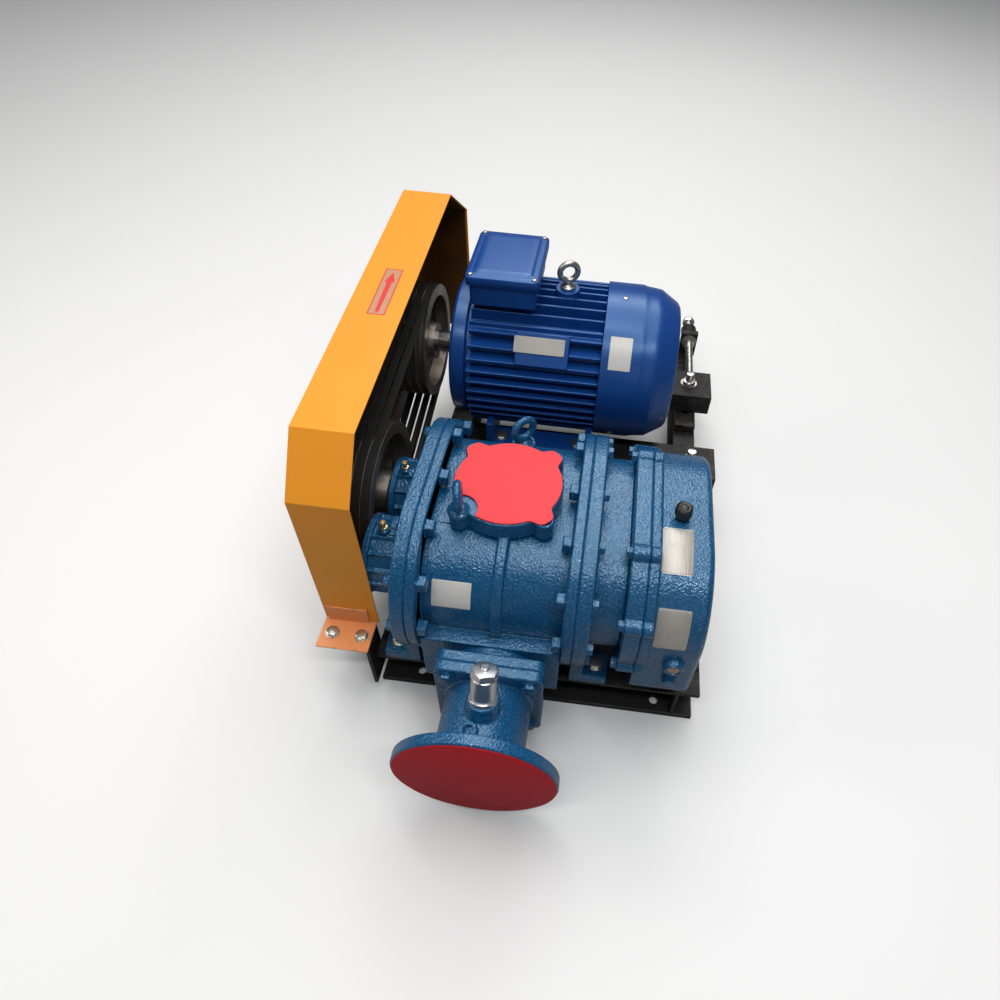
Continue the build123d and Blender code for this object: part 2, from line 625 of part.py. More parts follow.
EYE_TURNS = (100.0, 45.0)
EYE_SPOTS = (
    (PUMP_X - INLET_BOLT_OFFSET, INLET_CENTRE_Y - INLET_BOLT_OFFSET, INLET_TOP),
    (OUTLET_CENTRE_X, PUMP_Y + REAR_EYE_REACH, REAR_EYE_Z),
)
with BuildPart() as lifting_eyes:
    for (x, y, z), turn in zip(EYE_SPOTS, EYE_TURNS):
        disc(level(z, x, y), EYE_FOOT_RADIUS, 5)
        eye_ring(x, y, z + 8 + EYE_RING_RADIUS, turn, EYE_RING_RADIUS, EYE_WIRE_RADIUS)
    x, y, z = EYE_SPOTS[1]
    disc(level(z, x, y), EYE_SHANK_RADIUS, -EYE_SHANK)
save(lifting_eyes, "lifting_eyes")

# ---- rotors ---------------------------------------------------------------------------
def rotor_outline(phase):
    """The lobed outline, turned by a phase and moved in by the clearance.

    Outside the pitch circle a rolling circle traces the lobes. Inside it the same circle traces
    the hollows, so that two equal rotors roll on each other without a gap.
    """
    arc = pi / LOBES
    steps = 8
    for k in range(2 * LOBES):
        points = []
        rolling = ROLLING_RADIUS if k % 2 == 0 else -ROLLING_RADIUS
        centre = HALF_PITCH + rolling
        for i in range(steps + 1):
            angle = (k + i / steps) * arc
            turn = centre / rolling * (angle - k * arc) + k * arc
            x = centre * cos(angle) - rolling * cos(turn)
            y = centre * sin(angle) - rolling * sin(turn)
            shrink = 1 - ROTOR_CLEARANCE / hypot(x, y)
            points.append((x * shrink, y * shrink))
        turned = [
            (x * cos(phase) - y * sin(phase), x * sin(phase) + y * cos(phase)) for x, y in points
        ]
        Spline(*turned)


def rotor(y, phase, left_reach, right_reach, left_radius):
    """A lobed rotor with its stepped shaft."""
    half = CASING_HALF_LENGTH - ROTOR_END_CLEARANCE
    journal = BEARING_BORE_RADIUS - RUNNING_GAP
    with BuildSketch(facing_x(PUMP_X - half, y, PUMP_Z)) as section:
        with BuildLine():
            rotor_outline(phase)
        make_face()
    extrude(section.sketch, amount=2 * half)
    steps_left = (
        (ROTOR_SHAFT_RADIUS, half, PLATE_OUT + 4), (journal, PLATE_OUT + 4, PLATE_OUT + 38),
        (left_radius, PLATE_OUT + 38, left_reach),
    )
    steps_right = (
        (ROTOR_SHAFT_RADIUS, half, PLATE_OUT + 4), (journal, PLATE_OUT + 4, NECK_END - 4),
        (GEAR_SEAT_RADIUS, NECK_END - 4, right_reach),
    )
    for side, steps in ((-1, steps_left), (1, steps_right)):
        for radius, start, end in steps:
            disc(facing_x(PUMP_X + side * start, y, PUMP_Z), radius, side * (end - start))


GEAR_START = GEAR_BACK_END + 8.0
PUMP_SHAFT_REACH = PUMP_X - PULLEY_FACE_X + PULLEY_WIDTH - 3
with BuildPart() as drive_rotor:
    rotor(DRIVE_Y, 0.0, PUMP_SHAFT_REACH, GEAR_START + GEAR_WIDTH + 8, PULLEY_SEAT_RADIUS)
save(drive_rotor, "drive_rotor")

with BuildPart() as driven_rotor:
    rotor(
        DRIVEN_Y, pi / LOBES * (LOBES % 2), PLATE_OUT + 42, GEAR_START + GEAR_WIDTH + 8,
        PULLEY_SEAT_RADIUS,
    )
save(driven_rotor, "driven_rotor")


def bearing(x, y, z, bore):
    """A ball bearing drawn as its two rings joined by the cage."""
    ring(facing_x(x, y, z), BEARING_OUTER_RADIUS, BEARING_OUTER_RADIUS - 7, BEARING_WIDTH)
    ring(facing_x(x, y, z), bore + 7, bore, BEARING_WIDTH)
    ring(facing_x(x + 4, y, z), BEARING_OUTER_RADIUS - 7, bore + 7, BEARING_WIDTH - 8)


for label, y in (("drive_rotor_bearings", DRIVE_Y), ("driven_rotor_bearings", DRIVEN_Y)):
    with BuildPart() as bearings:
        bearing(
            PLATE_LEFT_X - BEARING_SETBACK - BEARING_WIDTH, y, PUMP_Z, BEARING_BORE_RADIUS
        )
        bearing(PLATE_RIGHT_X + BEARING_SETBACK, y, PUMP_Z, BEARING_BORE_RADIUS)
    save(bearings, label)

with BuildPart() as shaft_seals:
    for y in (DRIVE_Y, DRIVEN_Y):
        for x in (PLATE_LEFT_X + 6, PLATE_RIGHT_X - 6 - SEAL_WIDTH):
            ring(
                facing_x(x, y, PUMP_Z), SEAL_RADIUS, ROTOR_SHAFT_RADIUS + RUNNING_GAP, SEAL_WIDTH
            )
save(shaft_seals, "shaft_seals")


# ---- timing gears ---------------------------------------------------------------------
def flank_angle(radius, base_radius):
    """How far the involute has turned from its start when it reaches a radius."""
    pressure = acos(base_radius / radius)
    return tan(pressure) - pressure


def tooth_points(phase):
    """One turn of involute teeth, thinned by half the backlash, as corner points."""
    pitch_radius = GEAR_MODULE * GEAR_TEETH / 2
    base_radius = pitch_radius * cos(radians(PRESSURE_ANGLE))
    root = pitch_radius - 1.25 * GEAR_MODULE
    tip = pitch_radius + GEAR_MODULE
    half_tooth = (pi / 2 * GEAR_MODULE - GEAR_BACKLASH / 2) / (2 * pitch_radius)
    radii = [max(root, base_radius) + (tip - max(root, base_radius)) * k / 3 for k in range(4)]
    points = []
    for tooth in range(GEAR_TEETH):
        centre = phase + 2 * pi * tooth / GEAR_TEETH
        flank = [
            (r, half_tooth + flank_angle(pitch_radius, base_radius) - flank_angle(r, base_radius))
            for r in radii
        ]
        left = [(root, flank[0][1])] + flank
        for r, turn in left:
            points.append((r * cos(centre - turn), r * sin(centre - turn)))
        for r, turn in reversed(left):
            points.append((r * cos(centre + turn), r * sin(centre + turn)))
    return points


def timing_gear(y, phase):
    """A spur gear with a hub, on the end of a rotor shaft."""
    with BuildSketch(facing_x(PUMP_X + GEAR_START, y, PUMP_Z)) as outline:
        with BuildLine():
            Polyline(*tooth_points(phase), close=True)
        make_face()
        Circle(GEAR_SEAT_RADIUS, mode=Mode.SUBTRACT)
    extrude(outline.sketch, amount=GEAR_WIDTH)


with BuildPart() as drive_gear:
    timing_gear(DRIVE_Y, 0.0)
save(drive_gear, "drive_gear")

with BuildPart() as driven_gear:
    timing_gear(DRIVEN_Y, pi / GEAR_TEETH * ((GEAR_TEETH + 1) % 2))
save(driven_gear, "driven_gear")

# ---- gear case ------------------------------------------------------------------------
CASE_BOLTS = racetrack_spots(GEAR_BACK_RADIUS - 3, 4, False)
BACK_X = PUMP_X + NECK_END
CASE_X = PUMP_X + GEAR_BACK_END
with BuildPart() as gear_case_back:
    with BuildSketch(facing_x(BACK_X, *PUMP_CENTRE)) as outline:
        SlotCenterToCenter(SHAFT_PITCH, 2 * GEAR_BACK_RADIUS)
        with Locations(*CASE_BOLTS):
            Circle(12)
        for y in (-HALF_PITCH, HALF_PITCH):
            with Locations((y, 0)):
                Circle(GEAR_SEAT_RADIUS + 8, mode=Mode.SUBTRACT)
    extrude(outline.sketch, amount=GEAR_BACK_WALL)
save(gear_case_back, "gear_case_back")


def case_outline(inset):
    """The gear case's outline: round over the shafts, square-shouldered at the sump."""
    radius = GEAR_CASE_RADIUS - inset
    half = HALF_PITCH + radius
    bottom = -radius - SUMP_DROP
    SlotCenterToCenter(SHAFT_PITCH, 2 * radius)
    with Locations((0, bottom / 2)):
        Rectangle(2 * half, -bottom)
    return half, bottom


with BuildPart() as gear_case_cover:
    with BuildSketch(facing_x(CASE_X, *PUMP_CENTRE)) as outline:
        half, bottom = case_outline(0)
        fillet(outline.vertices().group_by(Axis.Y)[0], SUMP_ROUND)
    extrude(outline.sketch, amount=GEAR_CASE_LENGTH)
    fillet(gear_case_cover.faces().sort_by(Axis.X)[-1].edges(), GEAR_CASE_ROUND)
    with BuildSketch(facing_x(CASE_X, *PUMP_CENTRE)) as flange:
        SlotCenterToCenter(SHAFT_PITCH, 2 * GEAR_BACK_RADIUS)
        with Locations(*CASE_BOLTS):
            Circle(12)
    extrude(flange.sketch, amount=14)
    oblong(
        facing_x(CASE_X - 1, *PUMP_CENTRE), GEAR_CASE_RADIUS - GEAR_CASE_WALL,
        GEAR_CASE_LENGTH - GEAR_CASE_WALL + 1, Mode.SUBTRACT,
    )
    disc(level(PUMP_Z + GEAR_CASE_RADIUS + 1, CASE_X + 41, PUMP_Y - 18), 8, -20, Mode.SUBTRACT)
save(gear_case_cover, "gear_case_cover")

BREATHER_X = CASE_X + 41.0
BREATHER_Y = PUMP_Y - 18.0
BREATHER_Z = PUMP_Z + GEAR_CASE_RADIUS
with BuildPart() as breather_cap:
    disc(level(BREATHER_Z + COVER_GAP, BREATHER_X, BREATHER_Y), 10, 6)
    disc(level(BREATHER_Z + COVER_GAP + 6, BREATHER_X, BREATHER_Y), 14, 16)
    disc(level(BREATHER_Z + COVER_GAP, BREATHER_X, BREATHER_Y), 7.6, -12)
save(breather_cap, "breather_cap")

SUMP_FRONT_Y = PUMP_Y - HALF_PITCH - GEAR_CASE_RADIUS
with BuildPart() as sight_glass:
    disc(facing_front(CASE_X + 52, SUMP_FRONT_Y, PUMP_Z - 22), 15, 6)
    disc(facing_front(CASE_X + 52, SUMP_FRONT_Y - 6, PUMP_Z - 22), 11, 4)
save(sight_glass, "sight_glass")

with BuildPart() as drain_plug:
    with BuildSketch(facing_front(CASE_X + 52, SUMP_FRONT_Y, PUMP_Z - 62)) as hexagon:
        RegularPolygon(11, 6)
    extrude(hexagon.sketch, amount=9)
save(drain_plug, "drain_plug")

with BuildPart() as gear_case_bolts:
    for y, z in CASE_BOLTS:
        plane = Plane(
            origin=(BACK_X, PUMP_Y + y, PUMP_Z + z), x_dir=(0, 1, 0), z_dir=(-1, 0, 0)
        )
        with BuildSketch(plane) as head:
            RegularPolygon(8, 6)
        extrude(head.sketch, amount=8)
save(gear_case_bolts, "gear_case_bolts")

with BuildPart() as end_plate_bolts:
    for x, facing in ((PLATE_LEFT_X, -1), (PLATE_RIGHT_X, 1)):
        for y, z in PLATE_BOLTS:
            plane = Plane(
                origin=(x, PUMP_Y + y, PUMP_Z + z), x_dir=(0, 1, 0), z_dir=(facing, 0, 0)
            )
            with BuildSketch(plane) as head:
                RegularPolygon(8.5, 6)
            extrude(head.sketch, amount=8)
save(end_plate_bolts, "end_plate_bolts")

with BuildPart() as pump_foot_bolts:
    for x in PUMP_FOOT_X:
        for y in (-PUMP_FOOT_REACH, PUMP_FOOT_REACH):
            plane = level(CHANNEL_HEIGHT + FOOT_WALL, x, PUMP_Y + y)
            hex_bolt(plane, FOOT_BOLT_RADIUS, FOOT_WALL + CHANNEL_FLANGE_WALL)
save(pump_foot_bolts, "pump_foot_bolts")

# ---- inlet and discharge fittings -----------------------------------------------------
with BuildPart() as inlet_cover:
    with BuildSketch(level(INLET_TOP + COVER_GAP, PUMP_X, INLET_CENTRE_Y)) as outline:
        Circle(INLET_DISC_RADIUS - 2)
        with GridLocations(2 * INLET_BOLT_OFFSET, 2 * INLET_BOLT_OFFSET, 2, 2):
            Circle(INLET_LOBE_RADIUS - 2)
        with Locations((-INLET_BOLT_OFFSET, -INLET_BOLT_OFFSET)):
            Circle(EYE_RING_RADIUS + EYE_WIRE_RADIUS + EYE_CLEARANCE, mode=Mode.SUBTRACT)
    extrude(outline.sketch, amount=COVER_WALL)
save(inlet_cover, "inlet_cover")

OUTLET_FACE_Y = PUMP_Y - OUTLET_FACE_REACH
PIPE_LENGTH = OUTLET_FACE_REACH - SQUARE_REACH
VALVE_TILT = 25.0
VALVE_Y = SQUARE_Y - 40.0
VALVE_BOSS_RADIUS = 22.0
VALVE_DIRECTION = (0, sin(radians(VALVE_TILT)), cos(radians(VALVE_TILT)))
VALVE_FOOT = (OUTLET_CENTRE_X, VALVE_Y, OUTLET_Z + OUTLET_PIPE_RADIUS - 8)


def valve_plane(distance):
    """A plane across the relief valve's axis, at a distance along it from the pipe wall."""
    x, y, z = (a + distance * b for a, b in zip(VALVE_FOOT, VALVE_DIRECTION))
    return Plane(origin=(x, y, z), x_dir=(1, 0, 0), z_dir=VALVE_DIRECTION)


VALVE_SEAT = 20.0
VALVE_BORE_RADIUS = 9.0
with BuildPart() as outlet_pipe:
    with BuildSketch(facing_front(OUTLET_CENTRE_X, SQUARE_Y + SQUARE_WALL, OUTLET_Z)) as square:
        RectangleRounded(2 * SQUARE_HALF, 2 * SQUARE_HALF, SQUARE_CORNER)
    extrude(square.sketch, amount=SQUARE_WALL)
    disc(facing_front(OUTLET_CENTRE_X, SQUARE_Y, OUTLET_Z), OUTLET_PIPE_RADIUS, PIPE_LENGTH)
    disc(
        facing_front(OUTLET_CENTRE_X, OUTLET_FACE_Y, OUTLET_Z), OUTLET_FLANGE_RADIUS,
        -OUTLET_FLANGE_WALL,
    )
    disc(valve_plane(-6), VALVE_BOSS_RADIUS, VALVE_SEAT + 6)
    disc(
        facing_front(OUTLET_CENTRE_X, SQUARE_Y + SQUARE_WALL + 1, OUTLET_Z), OUTLET_BORE_RADIUS,
        PIPE_LENGTH + SQUARE_WALL + 2, Mode.SUBTRACT,
    )
    disc(valve_plane(-30), VALVE_BORE_RADIUS, VALVE_SEAT + 31, Mode.SUBTRACT)
    with BuildSketch(facing_front(OUTLET_CENTRE_X, OUTLET_FACE_Y, OUTLET_Z)) as holes:
        with PolarLocations(OUTLET_PITCH_RADIUS, OUTLET_HOLES, start_angle=180 / OUTLET_HOLES):
            Circle(OUTLET_HOLE_RADIUS)
    extrude(holes.sketch, amount=-OUTLET_FLANGE_WALL, mode=Mode.SUBTRACT)
    with BuildSketch(facing_front(OUTLET_CENTRE_X, SQUARE_Y, OUTLET_Z)) as square_holes:
        with GridLocations(2 * SQUARE_BOLT_OFFSET, 2 * SQUARE_BOLT_OFFSET, 2, 2):
            Circle(6)
    extrude(square_holes.sketch, amount=-SQUARE_WALL, mode=Mode.SUBTRACT)
save(outlet_pipe, "outlet_pipe")

with BuildPart() as square_flange_bolts:
    for x in (-SQUARE_BOLT_OFFSET, SQUARE_BOLT_OFFSET):
        for z in (-SQUARE_BOLT_OFFSET, SQUARE_BOLT_OFFSET):
            plane = facing_front(OUTLET_CENTRE_X + x, SQUARE_Y, OUTLET_Z + z)
            hex_bolt(plane, 6, 2 * SQUARE_WALL)
save(square_flange_bolts, "square_flange_bolts")

with BuildPart() as outlet_cover:
    disc(
        facing_front(OUTLET_CENTRE_X, OUTLET_FACE_Y - COVER_GAP, OUTLET_Z),
        OUTLET_FLANGE_RADIUS - 2, COVER_WALL,
    )
save(outlet_cover, "outlet_cover")

VALVE_HEIGHT = 52.0
VALVE_BODY_RADIUS = 17.5
VALVE_CHAMBER_RADIUS = 12.0
VALVE_DISC_WALL = 5.0
VALVE_COLLAR = 6.0
VALVE_CAP = 10.0
SEAT_GAP = 0.3
SPRING_WIRE_RADIUS = 1.0
SPRING_RADIUS = 8.5
SPRING_TURNS = 6
SPRING_START = SEAT_GAP + VALVE_DISC_WALL + 0.3 + SPRING_WIRE_RADIUS
SPRING_LENGTH = VALVE_HEIGHT - VALVE_CAP - SPRING_WIRE_RADIUS - SPRING_START
with BuildPart() as relief_valve_body:
    disc(valve_plane(VALVE_SEAT), VALVE_BODY_RADIUS + 2, VALVE_COLLAR)
    disc(valve_plane(VALVE_SEAT), VALVE_BODY_RADIUS, VALVE_HEIGHT - VALVE_CAP)
    with BuildSketch(valve_plane(VALVE_SEAT + VALVE_HEIGHT - VALVE_CAP)) as cap:
        RegularPolygon(VALVE_BODY_RADIUS - 1.5, 6)
    extrude(cap.sketch, amount=VALVE_CAP)
    disc(
        valve_plane(VALVE_SEAT - 1), VALVE_CHAMBER_RADIUS, VALVE_HEIGHT - VALVE_CAP + 1,
        Mode.SUBTRACT,
    )
save(relief_valve_body, "relief_valve_body")

with BuildPart() as relief_valve_disc:
    disc(valve_plane(VALVE_SEAT + SEAT_GAP), VALVE_CHAMBER_RADIUS - 0.4, VALVE_DISC_WALL)
    disc(valve_plane(VALVE_SEAT + VALVE_DISC_WALL), 3.5, 22)
save(relief_valve_disc, "relief_valve_disc")

with BuildPart() as relief_valve_spring:
    with BuildLine():
        coil = Helix(
            pitch=SPRING_LENGTH / SPRING_TURNS, height=SPRING_LENGTH, radius=SPRING_RADIUS
        )
    with BuildSketch(Plane(coil @ 0, z_dir=coil % 0)):
        RegularPolygon(SPRING_WIRE_RADIUS, 6)
    sweep(path=coil)
spring_place = valve_plane(VALVE_SEAT + SPRING_START).location
spring = relief_valve_spring.part.moved(spring_place)
spring.label = "relief_valve_spring"
export_step(spring, "parts/relief_valve_spring.step")


# ---- belt drive -----------------------------------------------------------------------
def pulley(y, z, radius, bore, holes):
    """A grooved pulley turned in one piece, with a web and a hub."""
    slope = tan(radians(BELT_HALF_ANGLE))
    top_half = BELT_TOP / 2 + BELT_GAP / cos(radians(BELT_HALF_ANGLE)) - BELT_PROUD * slope
    bottom_half = top_half - GROOVE_DEPTH * slope
    rim_inner = radius - GROOVE_DEPTH - PULLEY_RIM
    web_start = (PULLEY_WIDTH - PULLEY_WEB) / 2
    points = [(0, rim_inner), (0, radius)]
    for k in range(BELTS):
        middle = PULLEY_EDGE + k * BELT_PITCH
        points += [
            (middle - top_half, radius), (middle - bottom_half, radius - GROOVE_DEPTH),
            (middle + bottom_half, radius - GROOVE_DEPTH), (middle + top_half, radius),
        ]
    points += [
        (PULLEY_WIDTH, radius), (PULLEY_WIDTH, rim_inner),
        (web_start + PULLEY_WEB, rim_inner - 4), (web_start + PULLEY_WEB, PULLEY_HUB_RADIUS + 4),
        (PULLEY_WIDTH, PULLEY_HUB_RADIUS), (PULLEY_WIDTH, bore), (0, bore),
        (0, PULLEY_HUB_RADIUS), (web_start, PULLEY_HUB_RADIUS + 4), (web_start, rim_inner - 4),
    ]
    left = PULLEY_FACE_X - PULLEY_WIDTH
    axis = Axis((left, y, z), (1, 0, 0))
    with BuildSketch(Plane(origin=(left, y, z), x_dir=(1, 0, 0), z_dir=(0, -1, 0))) as section:
        with BuildLine():
            Polyline(*points, close=True)
        make_face()
    revolve(section.sketch, axis=axis)
    if holes:
        middle = (rim_inner - 4 + PULLEY_HUB_RADIUS + 4) / 2
        with BuildSketch(facing_x(left + web_start - 1, y, z)) as windows:
            with PolarLocations(middle, holes):
                Circle((rim_inner - PULLEY_HUB_RADIUS) / 3.4)
        extrude(windows.sketch, amount=PULLEY_WEB + 2, mode=Mode.SUBTRACT)


with BuildPart() as motor_pulley:
    pulley(MOTOR_Y, MOTOR_Z, MOTOR_PULLEY_RADIUS, MOTOR_SHAFT_RADIUS, 0)
save(motor_pulley, "motor_pulley")

with BuildPart() as pump_pulley:
    pulley(DRIVE_Y, PUMP_Z, PUMP_PULLEY_RADIUS, PULLEY_SEAT_RADIUS, 5)
save(pump_pulley, "pump_pulley")


def belt(x):
    """One V-belt: its section carried round both pulleys."""
    outer = BELT_PROUD
    slope = tan(radians(BELT_HALF_ANGLE))
    lean = atan2(MOTOR_Z - PUMP_Z, MOTOR_Y - DRIVE_Y)
    spread = acos((PUMP_PULLEY_RADIUS - MOTOR_PULLEY_RADIUS) / BELT_SPAN)

    def on(centre, radius, angle):
        return (x, centre[0] + radius * cos(angle), centre[1] + radius * sin(angle))

    pump = (DRIVE_Y, PUMP_Z)
    motor = (MOTOR_Y, MOTOR_Z)
    big = PUMP_PULLEY_RADIUS + outer
    small = MOTOR_PULLEY_RADIUS + outer
    up, down = lean + spread, lean - spread
    with BuildLine() as path:
        Line(on(pump, big, up), on(motor, small, up))
        ThreePointArc(on(motor, small, up), on(motor, small, lean), on(motor, small, down))
        Line(on(motor, small, down), on(pump, big, down))
        ThreePointArc(on(pump, big, down), on(pump, big, lean + pi), on(pump, big, up))
    start = on(pump, big, up)
    outward = (0, cos(up), sin(up))
    along = (0, -sin(up), cos(up))
    forward = tuple(-a for a in along)
    with BuildSketch(Plane(origin=start, x_dir=(1, 0, 0), z_dir=forward)) as section:
        direction = 1 if section.workplanes[0].y_dir.dot(Vector(*outward)) > 0 else -1
        half_top = BELT_TOP / 2
        half_bottom = half_top - BELT_HEIGHT * slope
        depth = -direction * BELT_HEIGHT
        with BuildLine():
            Polyline(
                (-half_top, 0), (half_top, 0), (half_bottom, depth), (-half_bottom, depth),
                close=True,
            )
        make_face()
    sweep(section.sketch, path=path.wire())


with BuildPart() as v_belts:
    for k in range(BELTS):
        belt(PULLEY_FACE_X - PULLEY_EDGE - k * BELT_PITCH)
save(v_belts, "v_belts")

# ---- belt guard -----------------------------------------------------------------------
GUARD_OUTLINE = (
    (GUARD_FRONT_Y, GUARD_FOOT_Z),
    (GUARD_FRONT_Y, GUARD_FRONT_Z),
    (GUARD_SLOPE_FRONT_Y, GUARD_SLOPE_FRONT_Z),
    (GUARD_PEAK_Y, GUARD_PEAK_Z),
    (GUARD_REAR_Y, GUARD_REAR_TOP_Z),
    (GUARD_REAR_Y, GUARD_REAR_BOTTOM_Z),
)
with BuildPart() as belt_guard:
    with BuildSketch(facing_x(GUARD_LEFT_X)) as panel:
        with BuildLine():
            Polyline(*GUARD_OUTLINE, close=True)
        make_face()
    extrude(panel.sketch, amount=GUARD_WALL)
    with BuildSketch(facing_x(GUARD_LEFT_X)) as band:
        with BuildLine() as fold:
            Polyline(*GUARD_OUTLINE)
            offset(amount=-GUARD_WALL, side=Side.RIGHT, closed=True)
        make_face()
    extrude(band.sketch, amount=GUARD_WIDTH)
save(belt_guard, "belt_guard")

FOOT_FRONT_Y = GUARD_FRONT_Y - GUARD_FOOT_DEPTH
GUARD_BOLT_Y = GUARD_FRONT_Y - GUARD_FOOT_DEPTH / 2
GUARD_BOLT_X = (GUARD_LEFT_X + 18.0, GUARD_RIGHT_X - 20.0)
GUARD_BOLT_RADIUS = 5.0
BRACKET_WALL = 6.0
with BuildPart() as guard_foot:
    block(
        (GUARD_LEFT_X, FOOT_FRONT_Y, GUARD_FOOT_Z - GUARD_FOOT_WALL),
        (GUARD_RIGHT_X - 4, GUARD_FRONT_Y, GUARD_FOOT_Z),
    )
    block(
        (GUARD_LEFT_X + 6, GUARD_FRONT_Y - GUARD_FOOT_WALL, GUARD_FOOT_Z),
        (GUARD_RIGHT_X - 14, GUARD_FRONT_Y, GUARD_FOOT_Z + 34),
    )
    for x in GUARD_BOLT_X:
        disc(level(GUARD_FOOT_Z + 1, x, GUARD_BOLT_Y), GUARD_BOLT_RADIUS, -8, Mode.SUBTRACT)
save(guard_foot, "guard_foot")

with BuildPart() as guard_bolts:
    for x in GUARD_BOLT_X:
        hex_bolt(level(GUARD_FOOT_Z, x, GUARD_BOLT_Y), GUARD_BOLT_RADIUS, BRACKET_WALL + GUARD_FOOT_WALL)
save(guard_bolts, "guard_bolts")

BRACKET_TOP = GUARD_FOOT_Z - GUARD_FOOT_WALL
with BuildPart() as guard_bracket:
    block(
        (GUARD_LEFT_X + 4, FOOT_FRONT_Y + 4, BRACKET_TOP - BRACKET_WALL),
        (-BASE_HALF_WIDTH, GUARD_FRONT_Y - 2, BRACKET_TOP),
    )
    block(
        (-BASE_HALF_WIDTH - BRACKET_WALL, FOOT_FRONT_Y + 4, 20),
        (-BASE_HALF_WIDTH, GUARD_FRONT_Y - 2, BRACKET_TOP),
    )
    for x in GUARD_BOLT_X:
        disc(
            level(BRACKET_TOP + 1, x, GUARD_BOLT_Y), GUARD_BOLT_RADIUS, -BRACKET_WALL - 2,
            Mode.SUBTRACT,
        )
save(guard_bracket, "guard_bracket")

# ---- motor ----------------------------------------------------------------------------
BARREL_X = MOTOR_FACE_X + SHIELD_LENGTH
BARREL_END_X = BARREL_X + BARREL_LENGTH
BOX_BOTTOM = MOTOR_Z + MOTOR_FIN_RADIUS + 1
MOTOR_CENTRE = (MOTOR_Y, MOTOR_Z)
PLATE_PAD_ANGLE = 38.0
FIN_ROWS = int(MOTOR_BARREL_RADIUS // MOTOR_FIN_PITCH)
with BuildPart() as motor_frame:
    with BuildSketch(facing_x(BARREL_X + 6, *MOTOR_CENTRE)) as fins:
        for k in range(-FIN_ROWS, FIN_ROWS + 1):
            offset_now = k * MOTOR_FIN_PITCH
            reach = sqrt(MOTOR_FIN_RADIUS**2 - offset_now**2)
            with Locations((0, offset_now)):
                Rectangle(2 * reach, MOTOR_FIN_WALL)
            if abs(k) < FIN_ROWS:
                with Locations((offset_now, reach / 2)):
                    Rectangle(MOTOR_FIN_WALL, reach)
        Circle(MOTOR_BARREL_RADIUS)
    extrude(fins.sketch, amount=BARREL_LENGTH - 12)
    disc(facing_x(BARREL_X, *MOTOR_CENTRE), MOTOR_BARREL_RADIUS + 6, BARREL_LENGTH)
    for y in MOTOR_FOOT_Y:
        block(
            (MOTOR_FOOT_X[0] - 24, y - 24, MOTOR_BASE_Z),
            (MOTOR_FOOT_X[1] + 24, y + 24, MOTOR_BASE_Z + MOTOR_FOOT_WALL),
        )
        for x in (MOTOR_FOOT_X[0] - 24, MOTOR_FOOT_X[1] + 12):
            inner = (y + MOTOR_Y) / 2
            low, high = sorted((y - 24 if y < MOTOR_Y else y + 24, inner))
            block((x, low, MOTOR_BASE_Z), (x + 12, high, MOTOR_BASE_Z + 62))
        for x in MOTOR_FOOT_X:
            disc(level(MOTOR_BASE_Z - 1, x, y), FOOT_BOLT_RADIUS, MOTOR_FOOT_WALL + 2, Mode.SUBTRACT)
    block(
        (MOTOR_FACE_X + BOX_FROM_FACE + 12, MOTOR_Y - 48, MOTOR_Z + 80),
        (MOTOR_FACE_X + BOX_FROM_FACE + BOX_LENGTH - 12, MOTOR_Y + 48, BOX_BOTTOM),
    )
    disc(level(MOTOR_Z + 80, BARREL_X + 160, MOTOR_Y), 20, 58)
    pad_out = (0, -cos(radians(PLATE_PAD_ANGLE)), sin(radians(PLATE_PAD_ANGLE)))
    pad_foot = (
        BARREL_X + 131, MOTOR_Y + MOTOR_BARREL_RADIUS * pad_out[1],
        MOTOR_Z + MOTOR_BARREL_RADIUS * pad_out[2],
    )
    with BuildSketch(Plane(origin=pad_foot, x_dir=(1, 0, 0), z_dir=pad_out)) as pad:
        RectangleRounded(88, 54, 4)
    extrude(pad.sketch, amount=MOTOR_FIN_RADIUS - MOTOR_BARREL_RADIUS + 2)
    disc(
        facing_x(BARREL_X - 1, *MOTOR_CENTRE), MOTOR_BARREL_RADIUS - MOTOR_BARREL_WALL,
        BARREL_LENGTH + 2, Mode.SUBTRACT,
    )
save(motor_frame, "motor_frame")

STATOR_BORE = 70.0
STATOR_X = BARREL_X + 45.0
STATOR_LENGTH = 130.0
AIR_GAP = 0.6
with BuildPart() as motor_stator:
    ring(
        facing_x(STATOR_X, *MOTOR_CENTRE), MOTOR_BARREL_RADIUS - MOTOR_BARREL_WALL,
        STATOR_BORE, STATOR_LENGTH,
    )
save(motor_stator, "motor_stator")


def end_shield(face_x, side, radius):
    """A dished end shield with a bearing seat; side points away from the motor's middle."""
    disc(facing_x(face_x, *MOTOR_CENTRE), radius, -side * SHIELD_LENGTH)
    disc(facing_x(face_x, *MOTOR_CENTRE), radius - 38, side * 4)
    disc(
        facing_x(face_x - side * SHIELD_LENGTH, *MOTOR_CENTRE), BEARING_OUTER_RADIUS,
        side * BEARING_WIDTH, Mode.SUBTRACT,
    )
    disc(facing_x(face_x - side * 40, *MOTOR_CENTRE), MOTOR_SHAFT_RADIUS + 2, side * 60, Mode.SUBTRACT)


with BuildPart() as motor_drive_shield:
    end_shield(MOTOR_FACE_X, -1, SHIELD_RADIUS)
    fillet(
        motor_drive_shield.edges().filter_by(GeomType.CIRCLE).filter_by(
            lambda e: abs(e.radius - SHIELD_RADIUS) < 0.1
        ).sort_by(Axis.X)[0],
        6,
    )
save(motor_drive_shield, "motor_drive_shield")

